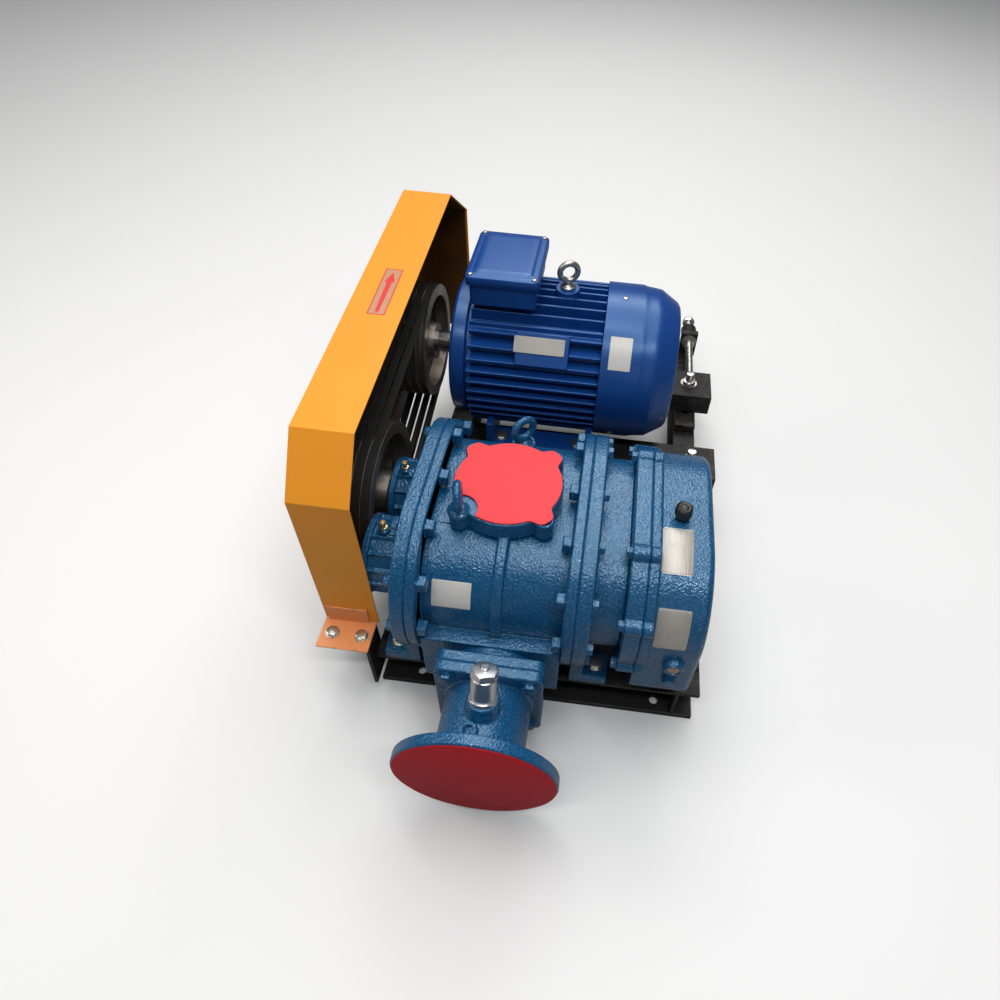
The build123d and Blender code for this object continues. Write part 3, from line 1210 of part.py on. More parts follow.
REAR_SHIELD_FACE = BARREL_END_X + SHIELD_LENGTH
with BuildPart() as motor_rear_shield:
    with BuildSketch(facing_x(BARREL_END_X + 6, *MOTOR_CENTRE)) as lugs:
        with PolarLocations(MOTOR_BARREL_RADIUS, 4, start_angle=45):
            Rectangle(2 * (FAN_COVER_RADIUS - FAN_COVER_WALL - MOTOR_BARREL_RADIUS), 16)
        Circle(FAN_COVER_RADIUS - FAN_COVER_WALL, mode=Mode.INTERSECT)
    extrude(lugs.sketch, amount=12)
    end_shield(REAR_SHIELD_FACE, 1, MOTOR_BARREL_RADIUS + 8)
save(motor_rear_shield, "motor_rear_shield")

with BuildPart() as motor_bearings:
    bearing(MOTOR_FACE_X + SHIELD_LENGTH - BEARING_WIDTH, MOTOR_Y, MOTOR_Z, BEARING_BORE_RADIUS)
    bearing(BARREL_END_X, MOTOR_Y, MOTOR_Z, BEARING_BORE_RADIUS)
save(motor_bearings, "motor_bearings")

FAN_HUB_X = REAR_SHIELD_FACE + 12.0
FAN_HUB_LENGTH = 30.0
FAN_SEAT_RADIUS = 15.0
FAN_COVER_X = BARREL_END_X - 6.0
FAN_COVER_END = FAN_COVER_X + FAN_COVER_LENGTH
with BuildPart() as motor_rotor:
    journal = BEARING_BORE_RADIUS - RUNNING_GAP
    for radius, start, end in (
        (MOTOR_SHAFT_RADIUS, MOTOR_FACE_X - MOTOR_SHAFT_LENGTH, MOTOR_FACE_X + 2),
        (journal, MOTOR_FACE_X + 2, BARREL_X + 1),
        (24.0, BARREL_X + 1, BARREL_END_X - 1),
        (STATOR_BORE - AIR_GAP, STATOR_X, STATOR_X + STATOR_LENGTH),
        (journal, BARREL_END_X - 1, BARREL_END_X + BEARING_WIDTH + 1),
        (FAN_SEAT_RADIUS, BARREL_END_X + BEARING_WIDTH + 1, FAN_HUB_X + FAN_HUB_LENGTH),
    ):
        disc(facing_x(start, *MOTOR_CENTRE), radius, end - start)
save(motor_rotor, "motor_rotor")

FAN_HUB_RADIUS = 28.0
FAN_RADIUS = FAN_COVER_RADIUS - FAN_COVER_WALL - 30.0
FAN_BLADES = 7
with BuildPart() as cooling_fan:
    disc(facing_x(FAN_HUB_X, *MOTOR_CENTRE), FAN_HUB_RADIUS, FAN_HUB_LENGTH)
    disc(facing_x(FAN_HUB_X, *MOTOR_CENTRE), FAN_RADIUS - 8, 3)
    with BuildSketch(facing_x(FAN_HUB_X, *MOTOR_CENTRE)) as blades:
        with PolarLocations((FAN_HUB_RADIUS + FAN_RADIUS) / 2, FAN_BLADES):
            Rectangle(FAN_RADIUS - FAN_HUB_RADIUS + 2, 3)
    extrude(blades.sketch, amount=FAN_HUB_LENGTH - 4)
    disc(
        facing_x(FAN_HUB_X - 1, *MOTOR_CENTRE), FAN_SEAT_RADIUS, FAN_HUB_LENGTH + 2,
        Mode.SUBTRACT,
    )
save(cooling_fan, "cooling_fan")

GRILLE_WINDOWS = 24
with BuildPart() as fan_cover:
    axis = Axis((0, MOTOR_Y, MOTOR_Z), (1, 0, 0))
    side = Plane(origin=(FAN_COVER_X, MOTOR_Y, MOTOR_Z), x_dir=(1, 0, 0), z_dir=(0, -1, 0))
    with BuildSketch(side) as section:
        with BuildLine():
            Polyline(
                (0, FAN_COVER_RADIUS - FAN_COVER_WALL), (0, FAN_COVER_RADIUS),
                (61, FAN_COVER_RADIUS), (67, FAN_COVER_RADIUS - 2),
                (93, FAN_COVER_RADIUS - 5), (FAN_COVER_LENGTH - 4, FAN_COVER_RADIUS - 24),
                (FAN_COVER_LENGTH, FAN_COVER_RADIUS - 30), (FAN_COVER_LENGTH, 0),
                (FAN_COVER_LENGTH - FAN_COVER_WALL, 0),
                (FAN_COVER_LENGTH - FAN_COVER_WALL, FAN_COVER_RADIUS - 32),
                (FAN_COVER_LENGTH - 6, FAN_COVER_RADIUS - 26),
                (93, FAN_COVER_RADIUS - 5 - FAN_COVER_WALL),
                (67, FAN_COVER_RADIUS - 2 - FAN_COVER_WALL),
                (61, FAN_COVER_RADIUS - FAN_COVER_WALL), close=True,
            )
        make_face()
    revolve(section.sketch, axis=axis)
    with BuildSketch(facing_x(FAN_COVER_END - 4, *MOTOR_CENTRE)) as windows:
        with PolarLocations(70, GRILLE_WINDOWS):
            Rectangle(48, 6)
    extrude(windows.sketch, amount=8, mode=Mode.SUBTRACT)
save(fan_cover, "fan_cover")

BOX_X = MOTOR_FACE_X + BOX_FROM_FACE
BOX_TOP = BOX_LID_TOP - BOX_LID_WALL
with BuildPart() as terminal_box:
    with BuildSketch(level(BOX_TOP, BOX_X + BOX_LENGTH / 2, MOTOR_Y)) as outline:
        RectangleRounded(BOX_LENGTH - 10, BOX_BREADTH - 10, 8)
    extrude(outline.sketch, amount=BOX_BOTTOM - BOX_TOP)
    with BuildSketch(level(BOX_TOP, BOX_X + BOX_LENGTH / 2, MOTOR_Y)) as hollow:
        RectangleRounded(BOX_LENGTH - 18, BOX_BREADTH - 18, 5)
    extrude(hollow.sketch, amount=BOX_BOTTOM - BOX_TOP + 5, mode=Mode.SUBTRACT)
    disc(
        Plane(origin=(BOX_X + 35, MOTOR_Y + BOX_BREADTH / 2 - 6, (BOX_TOP + BOX_BOTTOM) / 2), z_dir=(0, 1, 0)),
        13, 14,
    )
save(terminal_box, "terminal_box")

with BuildPart() as terminal_box_lid:
    with BuildSketch(level(BOX_TOP, BOX_X + BOX_LENGTH / 2, MOTOR_Y)) as rim:
        RectangleRounded(BOX_LENGTH, BOX_BREADTH, 10)
    extrude(rim.sketch, amount=BOX_LID_WALL - 3)
    with BuildSketch(level(BOX_TOP + BOX_LID_WALL - 3, BOX_X + BOX_LENGTH / 2, MOTOR_Y)) as field:
        RectangleRounded(BOX_LENGTH - 26, BOX_BREADTH - 26, 6)
    extrude(field.sketch, amount=3)
save(terminal_box_lid, "terminal_box_lid")

with BuildPart() as terminal_box_screws:
    for dx in (-1, 1):
        for dy in (-1, 1):
            x = BOX_X + BOX_LENGTH / 2 + dx * (BOX_LENGTH / 2 - 8)
            y = MOTOR_Y + dy * (BOX_BREADTH / 2 - 8)
            disc(level(BOX_TOP + BOX_LID_WALL - 3, x, y), 4, 2.5)
save(terminal_box_screws, "terminal_box_screws")

EYE_X = BARREL_X + 160.0
EYE_Z = MOTOR_Z + 138.0
with BuildPart() as motor_eyebolt:
    disc(level(EYE_Z, EYE_X, MOTOR_Y), 13, 5)
    disc(level(EYE_Z + 5, EYE_X, MOTOR_Y), 6, 10)
    eye_ring(EYE_X, MOTOR_Y, EYE_Z + 29, 20.0, 15, 5)
save(motor_eyebolt, "motor_eyebolt")

with BuildPart() as motor_foot_bolts:
    for x in MOTOR_FOOT_X:
        for y in MOTOR_FOOT_Y:
            plane = level(MOTOR_BASE_Z + MOTOR_FOOT_WALL, x, y)
            hex_bolt(plane, FOOT_BOLT_RADIUS, MOTOR_FOOT_WALL + BAR_WALL)
save(motor_foot_bolts, "motor_foot_bolts")
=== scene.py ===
import json
from math import cos, pi, radians, sin

import bmesh
import bpy
import numpy as np
from bpy.props import FloatProperty, FloatVectorProperty, PointerProperty
from bpy.types import Operator, Panel, PropertyGroup
from mathutils import Matrix, Vector

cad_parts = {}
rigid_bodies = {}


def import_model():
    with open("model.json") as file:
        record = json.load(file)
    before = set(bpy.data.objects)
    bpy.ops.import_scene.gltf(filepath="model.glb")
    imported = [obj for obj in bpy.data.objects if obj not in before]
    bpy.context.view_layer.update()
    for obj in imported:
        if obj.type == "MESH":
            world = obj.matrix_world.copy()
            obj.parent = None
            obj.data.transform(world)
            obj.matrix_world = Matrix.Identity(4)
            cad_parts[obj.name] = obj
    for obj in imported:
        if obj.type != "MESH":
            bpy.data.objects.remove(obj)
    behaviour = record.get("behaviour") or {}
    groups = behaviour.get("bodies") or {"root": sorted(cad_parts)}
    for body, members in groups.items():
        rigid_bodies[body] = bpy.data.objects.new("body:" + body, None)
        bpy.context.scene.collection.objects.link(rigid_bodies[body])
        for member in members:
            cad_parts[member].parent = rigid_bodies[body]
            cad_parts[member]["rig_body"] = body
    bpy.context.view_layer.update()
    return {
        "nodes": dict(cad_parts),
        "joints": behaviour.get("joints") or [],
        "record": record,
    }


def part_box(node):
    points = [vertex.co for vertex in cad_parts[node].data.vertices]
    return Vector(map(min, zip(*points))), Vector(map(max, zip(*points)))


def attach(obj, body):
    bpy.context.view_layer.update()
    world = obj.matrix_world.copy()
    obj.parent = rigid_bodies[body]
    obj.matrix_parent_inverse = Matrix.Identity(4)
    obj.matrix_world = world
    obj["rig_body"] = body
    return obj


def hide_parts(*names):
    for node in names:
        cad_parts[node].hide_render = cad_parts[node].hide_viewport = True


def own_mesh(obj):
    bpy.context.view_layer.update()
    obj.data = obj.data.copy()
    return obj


bl_info = {
    "name": "Roots vacuum pump",
    "version": (1, 0, 0),
    "blender": (4, 5, 0),
    "location": "3D View > Sidebar > Roots pump",
    "description": "Dresses a belt-driven roots vacuum pump with its paint, castings, fasteners and plates",
    "category": "Object",
}

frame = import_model()
ROOT = "pump_set"
CORNERS = ((-1, -1), (-1, 1), (1, -1), (1, 1))
SENSOR = 36.0
LENS_SHARE = 0.70326
LENS_SHIFT = (-0.0555, -0.011)
CAMERA_TURN = (-3.7795, 48.1408, 3.8297)
CAMERA_SPOT = (0.04293, -0.92236)
FLOOR = 6.0
RIVET_INSET = 0.0035
PLATE_THICK = 0.0008
MERGE_DISTANCE = 5e-6
SHARP_ANGLE = 32


# ---- meshes ---------------------------------------------------------------------------
def loft(rings, loop=False):
    """Quads between neighbouring rings of points, each ring closed on itself.

    rings is an array of rings by points by three. Both ends are closed with one face each,
    unless loop joins the last ring to the first. Points go counter-clockwise about the direction
    in which the rings follow each other, so that faces point outwards.
    """
    rows, columns = rings.shape[:2]
    i = np.arange(rows if loop else rows - 1)
    a, b = np.meshgrid(i, np.arange(columns), indexing="ij")
    c, d = (a + 1) % rows, (b + 1) % columns
    quads = np.stack((a * columns + b, a * columns + d, c * columns + d, c * columns + b), -1)
    faces = quads.reshape(-1, 4).tolist()
    if not loop:
        faces.append(list(range(columns))[::-1])
        faces.append([(rows - 1) * columns + k for k in range(columns)])
    return rings.reshape(-1, 3), faces


def gather(solids):
    """Several (points, faces) joined into one."""
    points, faces, start = [], [], 0
    for p, f in solids:
        points.append(np.asarray(p, float))
        faces += [[k + start for k in face] for face in f]
        start += len(p)
    return np.concatenate(points), faces


def axes_along(direction):
    """Two unit vectors square to a direction, and the direction itself, as a right-handed set."""
    w = np.asarray(direction, float)
    w = w / np.linalg.norm(w)
    helper = np.array((0.0, 0.0, 1.0)) if abs(w[2]) < 0.9 else np.array((1.0, 0.0, 0.0))
    u = np.cross(helper, w)
    u /= np.linalg.norm(u)
    return u, np.cross(w, u), w


def full_turn(count):
    """Angles spaced evenly round a circle."""
    return np.linspace(0, 2 * pi, count, endpoint=False)


def spokes(direction, angle):
    """A unit vector at each angle about a direction, and the direction's own unit vector."""
    u, v, w = axes_along(direction)
    return np.cos(angle)[..., None] * u + np.sin(angle)[..., None] * v, w


def turned(profile, origin, direction, count=48):
    """A profile of (distance along, radius) turned about an axis: a circle for each pair."""
    circle, w = spokes(direction, full_turn(count))
    return loft(np.array([np.asarray(origin) + s * w + r * circle for s, r in profile]))


def hexagon(flat, angle):
    """The radius of a hexagon with that half width across flats, at each angle."""
    return flat / np.cos((angle + pi / 6) % (pi / 3) - pi / 6)


def hex_head(origin, direction, flat, height, turn=0.0, washer=0.0):
    """A hexagon head whose corners are cut by a 30 degree cone, on an optional washer."""
    angle = full_turn(48)
    circle, w = spokes(direction, angle + turn)
    corner = hexagon(flat, angle)
    crown = height - (corner - flat * 0.94) * 0.577
    origin = np.asarray(origin, float)
    rows = [
        (np.zeros(48), corner * 0.97), (np.full(48, height * 0.06), corner), (crown, corner),
        (np.full(48, height), np.full(48, flat * 0.9)),
    ]
    rings = np.array([origin + s[:, None] * w + r[:, None] * circle for s, r in rows])
    solids = [loft(rings + washer * w)]
    if washer:
        solids.append(turned([(0, flat * 1.35), (washer, flat * 1.35)], origin, direction))
    return gather(solids)


def rounded(width, height, corner, count=40):
    """The outline of a rectangle with round corners, as two arrays: a circle pushed out to them."""
    angle = full_turn(count) + pi / count
    across = np.sign(np.cos(angle)) * (width / 2 - corner) + corner * np.cos(angle)
    up = np.sign(np.sin(angle)) * (height / 2 - corner) + corner * np.sin(angle)
    return across, up


def plate(origin, normal, along, width, height, thick, corner=0.002):
    """A flat plate: a rounded rectangle raised along its normal, with its top edge broken."""
    _, _, w = axes_along(normal)
    u = np.asarray(along, float)
    u = u - u.dot(w) * w
    u /= np.linalg.norm(u)
    v = np.cross(w, u)
    edge = min(thick * 0.3, corner * 0.5)
    rings = []
    for rise, inset in ((0.0, 0.0), (thick - edge, 0.0), (thick, edge)):
        across, up = rounded(width - 2 * inset, height - 2 * inset, corner - inset)
        rings.append(np.asarray(origin) + rise * w + across[:, None] * u + up[:, None] * v)
    return loft(np.array(rings))


def bent_spot(run, centre, radius):
    """The place and the outward direction at a distance along a flat top that turns into an arc.

    run is counted from the joint: below zero it lies back along the flat, and above zero it goes
    forwards and down round the arc, through the angle run / radius.
    """
    turn = max(run, 0.0) / radius
    outward = np.array((0.0, -sin(turn), cos(turn)))
    spot = np.array((0.0, centre[0] - min(run, 0.0), centre[1])) + radius * outward
    return spot, outward


def bent_plate(middle_x, width, runs, centre, radius, thick, corner=0.003, rivets=False):
    """A plate that follows a flat top and the arc in front of it: sections carried along the bend.

    A section's half width shrinks over the round corners as corner - sqrt(corner^2 - d^2).
    """
    middle, half = sum(runs) / 2, (runs[1] - runs[0]) / 2
    edge = thick * 0.3
    rings = []
    for step in np.linspace(-pi / 2, pi / 2, 41):
        along = half * sin(step)
        past = max(0.0, abs(along) - (half - corner))
        reach = width / 2 - corner + max(0.0, corner**2 - past**2) ** 0.5
        spot, outward = bent_spot(middle + along, centre, radius)
        section = (
            (-reach, 0), (reach, 0), (reach, thick - edge), (reach - edge, thick),
            (edge - reach, thick), (-reach, thick - edge),
        )
        rings.append([spot + outward * rise + (middle_x + x, 0, 0) for x, rise in section])
    solids = [loft(np.array(rings))]
    for i, k in CORNERS if rivets else ():
        spot, outward = bent_spot(middle + k * (half - RIVET_INSET), centre, radius)
        spot = spot + outward * thick * 0.8 + (middle_x + i * (width / 2 - RIVET_INSET), 0, 0)
        solids.append(rivet(spot, outward))
    return gather(solids)


def rivet(foot, direction):
    """A small domed rivet head."""
    return turned([(0, 0.0015), (0.0004, 0.0014), (0.0008, 0.0008)], foot, direction, 16)


def lobed_cover(centre, disc, lobe, reach, spread, notch, notch_radius, levels):
    """A round cover with four lobes that flow into it, and a notch round an eyebolt.

    radius(a) = disc + (reach + lobe - disc) exp(-(d / spread)^4), where d is the angle from the
    nearest diagonal, cut back to the notch's circle where that is nearer.
    """
    angle = full_turn(360)
    away = (angle % (pi / 2)) - pi / 4
    radius = disc + (reach + lobe - disc) * np.exp(-((away / spread) ** 4))
    to_notch = np.asarray(notch[:2]) - centre
    distance = np.hypot(*to_notch)
    turn = angle - np.arctan2(to_notch[1], to_notch[0])
    inside = notch_radius**2 - (distance * np.sin(turn)) ** 2
    near = distance * np.cos(turn) - np.sqrt(np.maximum(inside, 0))
    radius = np.where((inside > 0) & (np.cos(turn) > 0), np.minimum(radius, near), radius)
    low, high = levels
    rings = []
    for z, inset in ((low, 0.0003), (low + 0.0004, 0.0), (high - 0.0006, 0.0), (high, 0.0006)):
        across, up = (radius - inset) * np.cos(angle), (radius - inset) * np.sin(angle)
        rings.append(np.stack((centre[0] + across, centre[1] + up, np.full(360, z)), -1))
    return loft(np.array(rings))


def ring_eye(origin, turn, radius, wire):
    """An upright ring of round bar: a circle of bar carried round a circle in a turned plane."""
    along = np.array((cos(turn), sin(turn), 0.0))
    across = np.array((sin(turn), -cos(turn), 0.0))
    rise = np.array((0.0, 0.0, 1.0))
    big, small = np.meshgrid(full_turn(56), full_turn(20), indexing="ij")
    outward = np.cos(big)[..., None] * along + np.sin(big)[..., None] * rise
    reach = (radius + wire * np.cos(small))[..., None] * outward
    return loft(np.asarray(origin) + reach + (wire * np.sin(small))[..., None] * across, loop=True)


def thread(origin, direction, radius, length, pitch=0.002, depth=0.0009):
    """A threaded bar: its radius falls and rises once for each pitch, and shifts with the angle.

    radius(s, a) = radius - depth * |2 frac(s / pitch - a / 2 pi) - 1|
    """
    s, a = np.meshgrid(np.arange(0, length, pitch / 5), full_turn(24), indexing="ij")
    circle, w = spokes(direction, a)
    phase = (s / pitch - a / (2 * pi)) % 1.0
    reach = radius - depth * np.abs(2 * phase - 1)
    reach[0] = reach[-1] = radius - 1.6 * depth
    return loft(np.asarray(origin) + s[..., None] * w + reach[..., None] * circle)


def weld(start, end, radius=0.0028):
    """A weld bead: a tube whose radius ripples along its run, pinched at both ends."""
    start, end = np.asarray(start, float), np.asarray(end, float)
    length = np.linalg.norm(end - start)
    circle, w = spokes(end - start, full_turn(12))
    s = np.linspace(0, 1, max(12, int(length / 0.0011)))
    ripple = 1 + 0.16 * np.abs(np.sin(pi * s * length / 0.0042)) + 0.08 * np.sin(s * length * 730)
    ends = np.clip(np.minimum(s, 1 - s) * length / 0.003, 0.15, 1)
    reach = radius * ripple * np.sqrt(ends)
    return loft(start + (s * length)[:, None, None] * w + reach[:, None, None] * circle)


def islands(node):
    """The lowest and highest corners of each separate solid of a node."""
    mesh = frame["nodes"][node].data
    points = np.empty(len(mesh.vertices) * 3)
    mesh.vertices.foreach_get("co", points)
    corners = np.empty(len(mesh.loops), int)
    mesh.loops.foreach_get("vertex_index", corners)
    places, same = np.unique(points.reshape(-1, 3).round(6), axis=0, return_inverse=True)
    faces = same.reshape(-1)[corners].reshape(-1, 3)
    label = np.arange(len(places))
    settled = False
    while not settled:
        spread = label.copy()
        np.minimum.at(spread, faces.ravel(), np.repeat(label[faces].min(1), 3))
        settled = bool((spread == label).all())
        label = spread
    return [(places[label == k].min(0), places[label == k].max(0)) for k in np.unique(label)]


def smooth(mesh, angle=35.0):
    """Smooth shading, kept sharp at edges over an angle."""
    mesh.shade_smooth()
    mesh.set_sharp_from_angle(angle=radians(angle))


def added(name, data):
    """A new object in the scene, for a mesh, a light or a camera."""
    made = bpy.data.objects.new(name, data)
    bpy.context.scene.collection.objects.link(made)
    return made


def fitted(name, mesh, material, body, nodes, angle):
    """A smooth piece with its material and slot, riding on a body and standing for its nodes."""
    smooth(mesh, angle)
    mesh.materials.clear()
    mesh.materials.append(bpy.data.materials[material])
    made = added(name, mesh)
    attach(made, body)
    if nodes:
        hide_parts(*nodes)
    return made


def piece(name, solid, material, body=ROOT, replaces=(), angle=35.0):
    """A named piece made from (points, faces)."""
    points, faces = solid
    mesh = bpy.data.meshes.new(name)
    mesh.from_pydata([tuple(p) for p in points], [], faces)
    mesh.validate()
    return fitted(name, mesh, material, body, replaces, angle)


def dressed(node, material, edge, joined=True):
    """A copy of a solid with merged points, rounded edges and its finish; it stands for the solid.

    joined makes one face of each flat side before its edges are rounded.
    """
    source = frame["nodes"][node]
    mesh = source.data.copy()
    work = bmesh.new()
    work.from_mesh(mesh)
    bmesh.ops.remove_doubles(work, verts=work.verts, dist=MERGE_DISTANCE)
    if joined:
        bmesh.ops.dissolve_limit(
            work, angle_limit=radians(0.1), verts=work.verts, edges=work.edges,
            use_dissolve_boundaries=False,
        )
    work.to_mesh(mesh)
    work.free()
    made = fitted(node + "_skin", mesh, material, source["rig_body"], (node,), SHARP_ANGLE)
    if edge:
        bevel = made.modifiers.new("edges", "BEVEL")
        bevel.width = edge
        bevel.segments = 2
        bevel.limit_method = "ANGLE"
        bevel.angle_limit = radians(SHARP_ANGLE)
        bevel.use_clamp_overlap = False
        bevel.harden_normals = False
    level = made.modifiers.new("even_shading", "WEIGHTED_NORMAL")
    level.keep_sharp = True
    return made


def bolts(node, material, axis, outward, head, washer, threaded=0.0):
    """Hexagon heads with chamfered corners and shanks, one for each bolt of a node.

    outward gives the sign of the head's side for a bolt's middle, and threaded is how far a
    threaded end stands out of the nut.
    """
    solids = []
    for k, (low, high) in enumerate(islands(node)):
        middle = (low + high) / 2
        sign = outward(middle)
        direction = np.zeros(3)
        direction[axis] = sign
        cross = [i for i in range(3) if i != axis]
        flat = min(high[i] - low[i] for i in cross) / 2
        top = high[axis] if sign > 0 else low[axis]
        foot = middle.copy()
        foot[axis] = top - sign * (head + threaded)
        solids.append(hex_head(foot, direction, flat, head - washer, 0.5 * k, washer))
        depth = high[axis] - low[axis] - head - threaded
        if depth > 0.001:
            solids.append(turned([(-depth, flat * 0.65), (0, flat * 0.65)], foot, direction, 24))
        if threaded:
            start = foot + direction * head * 0.5
            solids.append(thread(start, direction, flat * 0.66, threaded + head * 0.5))
    piece(node + "_detail", gather(solids), material, replaces=(node,), angle=25)


# ---- materials ------------------------------------------------------------------------
class Web:
    """Adds nodes to a tree. Each input is a value or the socket that feeds it."""

    def __init__(self, tree):
        self.tree = tree

    def add(self, kind, inputs=None, **settings):
        node = self.tree.nodes.new(kind)
        for key, value in settings.items():
            setattr(node, key, value)
        for key, value in (inputs or {}).items():
            if isinstance(value, bpy.types.NodeSocket):
                self.tree.links.new(value, node.inputs[key])
            else:
                node.inputs[key].default_value = value
        return node

    def math(self, operation, first, second):
        """The socket of a sum, product or comparison of two values."""
        return self.add("ShaderNodeMath", {0: first, 1: second}, operation=operation).outputs[0]

    def noise(self, place, scale, detail, **more):
        """The socket of a noise with values about a half."""
        inputs = {"Vector": place, "Scale": scale, "Detail": detail, **more}
        return self.add("ShaderNodeTexNoise", inputs).outputs["Fac"]

    def ramp(self, value, low, high):
        """The socket of a value that rises from nought at low to one at high."""
        inputs = {"Value": value, "From Min": low, "From Max": high}
        return self.add("ShaderNodeMapRange", inputs).outputs[0]

    def give(self, value, node, name):
        """Links a socket to a node's input."""
        self.tree.links.new(value, node.inputs[name])


def make_group(name, sockets_in, sockets_out):
    """A shader node group with named sockets, and its web, input and output nodes."""
    tree = bpy.data.node_groups.new(name, "ShaderNodeTree")
    for label, kind, value in sockets_in:
        socket = tree.interface.new_socket(label, in_out="INPUT", socket_type=kind)
        if value is not None:
            socket.default_value = value
    for label, kind in sockets_out:
        tree.interface.new_socket(label, in_out="OUTPUT", socket_type=kind)
    web = Web(tree)
    return web, web.add("NodeGroupInput"), web.add("NodeGroupOutput")


def build_groups():
    """The shared effects: hammered paint, cast grain, grime, edge wear, painted shade inside the guard and
    brushed lines.
    """
    web, given, out = make_group(
        "hammered",
        [("Vector", "NodeSocketVector", None), ("Scale", "NodeSocketFloat", 300.0)],
        [("Height", "NodeSocketFloat"), ("Fleck", "NodeSocketFloat")],
    )
    place, scale = given.outputs["Vector"], given.outputs["Scale"]
    cells = web.add(
        "ShaderNodeTexVoronoi", {"Vector": place, "Scale": scale, "Smoothness": 0.6},
        feature="SMOOTH_F1",
    )
    fine = web.noise(place, scale, 2.0)
    dents = web.math("ADD", cells.outputs["Distance"], fine)
    web.give(web.math("ADD", dents, web.noise(place, 45.0, 2.0)), out, "Height")
    web.give(web.ramp(fine, 0.5, 0.7), out, "Fleck")

    web, given, out = make_group(
        "cast_grain",
        [("Vector", "NodeSocketVector", None), ("Scale", "NodeSocketFloat", 300.0)],
        [("Height", "NodeSocketFloat")],
    )
    web.give(web.noise(given.outputs["Vector"], given.outputs["Scale"], 3.0), out, "Height")

    web, given, out = make_group(
        "grime",
        [("Vector", "NodeSocketVector", None), ("Scale", "NodeSocketFloat", 9.0)],
        [("Mask", "NodeSocketFloat"), ("Patch", "NodeSocketFloat")],
    )
    place = given.outputs["Vector"]
    cloud = web.noise(place, given.outputs["Scale"], 6.0, Roughness=0.62)
    web.give(web.ramp(cloud, 0.45, 0.8), out, "Mask")
    web.give(web.noise(place, 3.0, 2.0), out, "Patch")

    web, given, out = make_group(
        "edge_wear", [("Vector", "NodeSocketVector", None)], [("Mask", "NodeSocketFloat")]
    )
    edge = web.ramp(web.add("ShaderNodeNewGeometry").outputs["Pointiness"], 0.53, 0.62)
    chips = web.ramp(web.noise(given.outputs["Vector"], 70.0, 4.0), 0.5, 0.6)
    web.give(web.math("MULTIPLY", edge, chips), out, "Mask")

    # painted shade inside the belt guard: a mask of the faces that look inward, up to an X, with a little
    # noise
    web, given, out = make_group(
        "belt_dust",
        [("Vector", "NodeSocketVector", None), ("Reach", "NodeSocketFloat", 0.0)],
        [("Mask", "NodeSocketFloat")],
    )
    place = given.outputs["Vector"]
    looks = web.add("ShaderNodeSeparateXYZ", {0: web.add("ShaderNodeNewGeometry").outputs["Normal"]})
    spot = web.add("ShaderNodeSeparateXYZ", {0: place})
    right = web.ramp(looks.outputs["X"], 0.5, 0.7)
    down = web.ramp(looks.outputs["Z"], -0.4, -0.6)
    front = web.ramp(looks.outputs["Y"], -0.5, -0.7)
    wall = web.math("MULTIPLY", front, web.math("GREATER_THAN", spot.outputs["Y"], 0.0))
    inwards = web.math("MAXIMUM", web.math("MAXIMUM", right, down), wall)
    inside = web.math("LESS_THAN", spot.outputs["X"], given.outputs["Reach"])
    cloud = web.noise(place, 14.0, 4.0)
    patchy = web.add("ShaderNodeMapRange", {"Value": cloud, "To Min": 0.8, "To Max": 1.0})
    held = web.math("MULTIPLY", inwards, inside)
    web.give(web.math("MULTIPLY", held, patchy.outputs[0]), out, "Mask")

    web, given, out = make_group(
        "brushed_lines",
        [("Vector", "NodeSocketVector", None), ("Stretch", "NodeSocketVector", (20.0, 900.0, 900.0))],
        [("Lines", "NodeSocketFloat")],
    )
    stretched = web.add(
        "ShaderNodeVectorMath",
        {0: given.outputs["Vector"], 1: given.outputs["Stretch"]}, operation="MULTIPLY",
    )
    web.give(web.noise(stretched.outputs[0], 1.0, 3.0), out, "Lines")


def group_node(web, name, inputs):
    """A node in a material that places a shared group."""
    return web.add("ShaderNodeGroup", inputs, node_tree=bpy.data.node_groups[name])


def mixed(web, share, first, second):
    """The socket of a colour between two others; each is a colour or a socket."""
    node = web.add("ShaderNodeMix", data_type="RGBA")
    for index, value in ((0, share), (6, first), (7, second)):
        if isinstance(value, bpy.types.NodeSocket):
            web.tree.links.new(value, node.inputs[index])
        else:
            node.inputs[index].default_value = (*value, 1.0) if index else value
    return node.outputs[2]


def shade(colour, share):
    """A colour made darker or lighter."""
    return tuple(min(1.0, c * share) for c in colour)


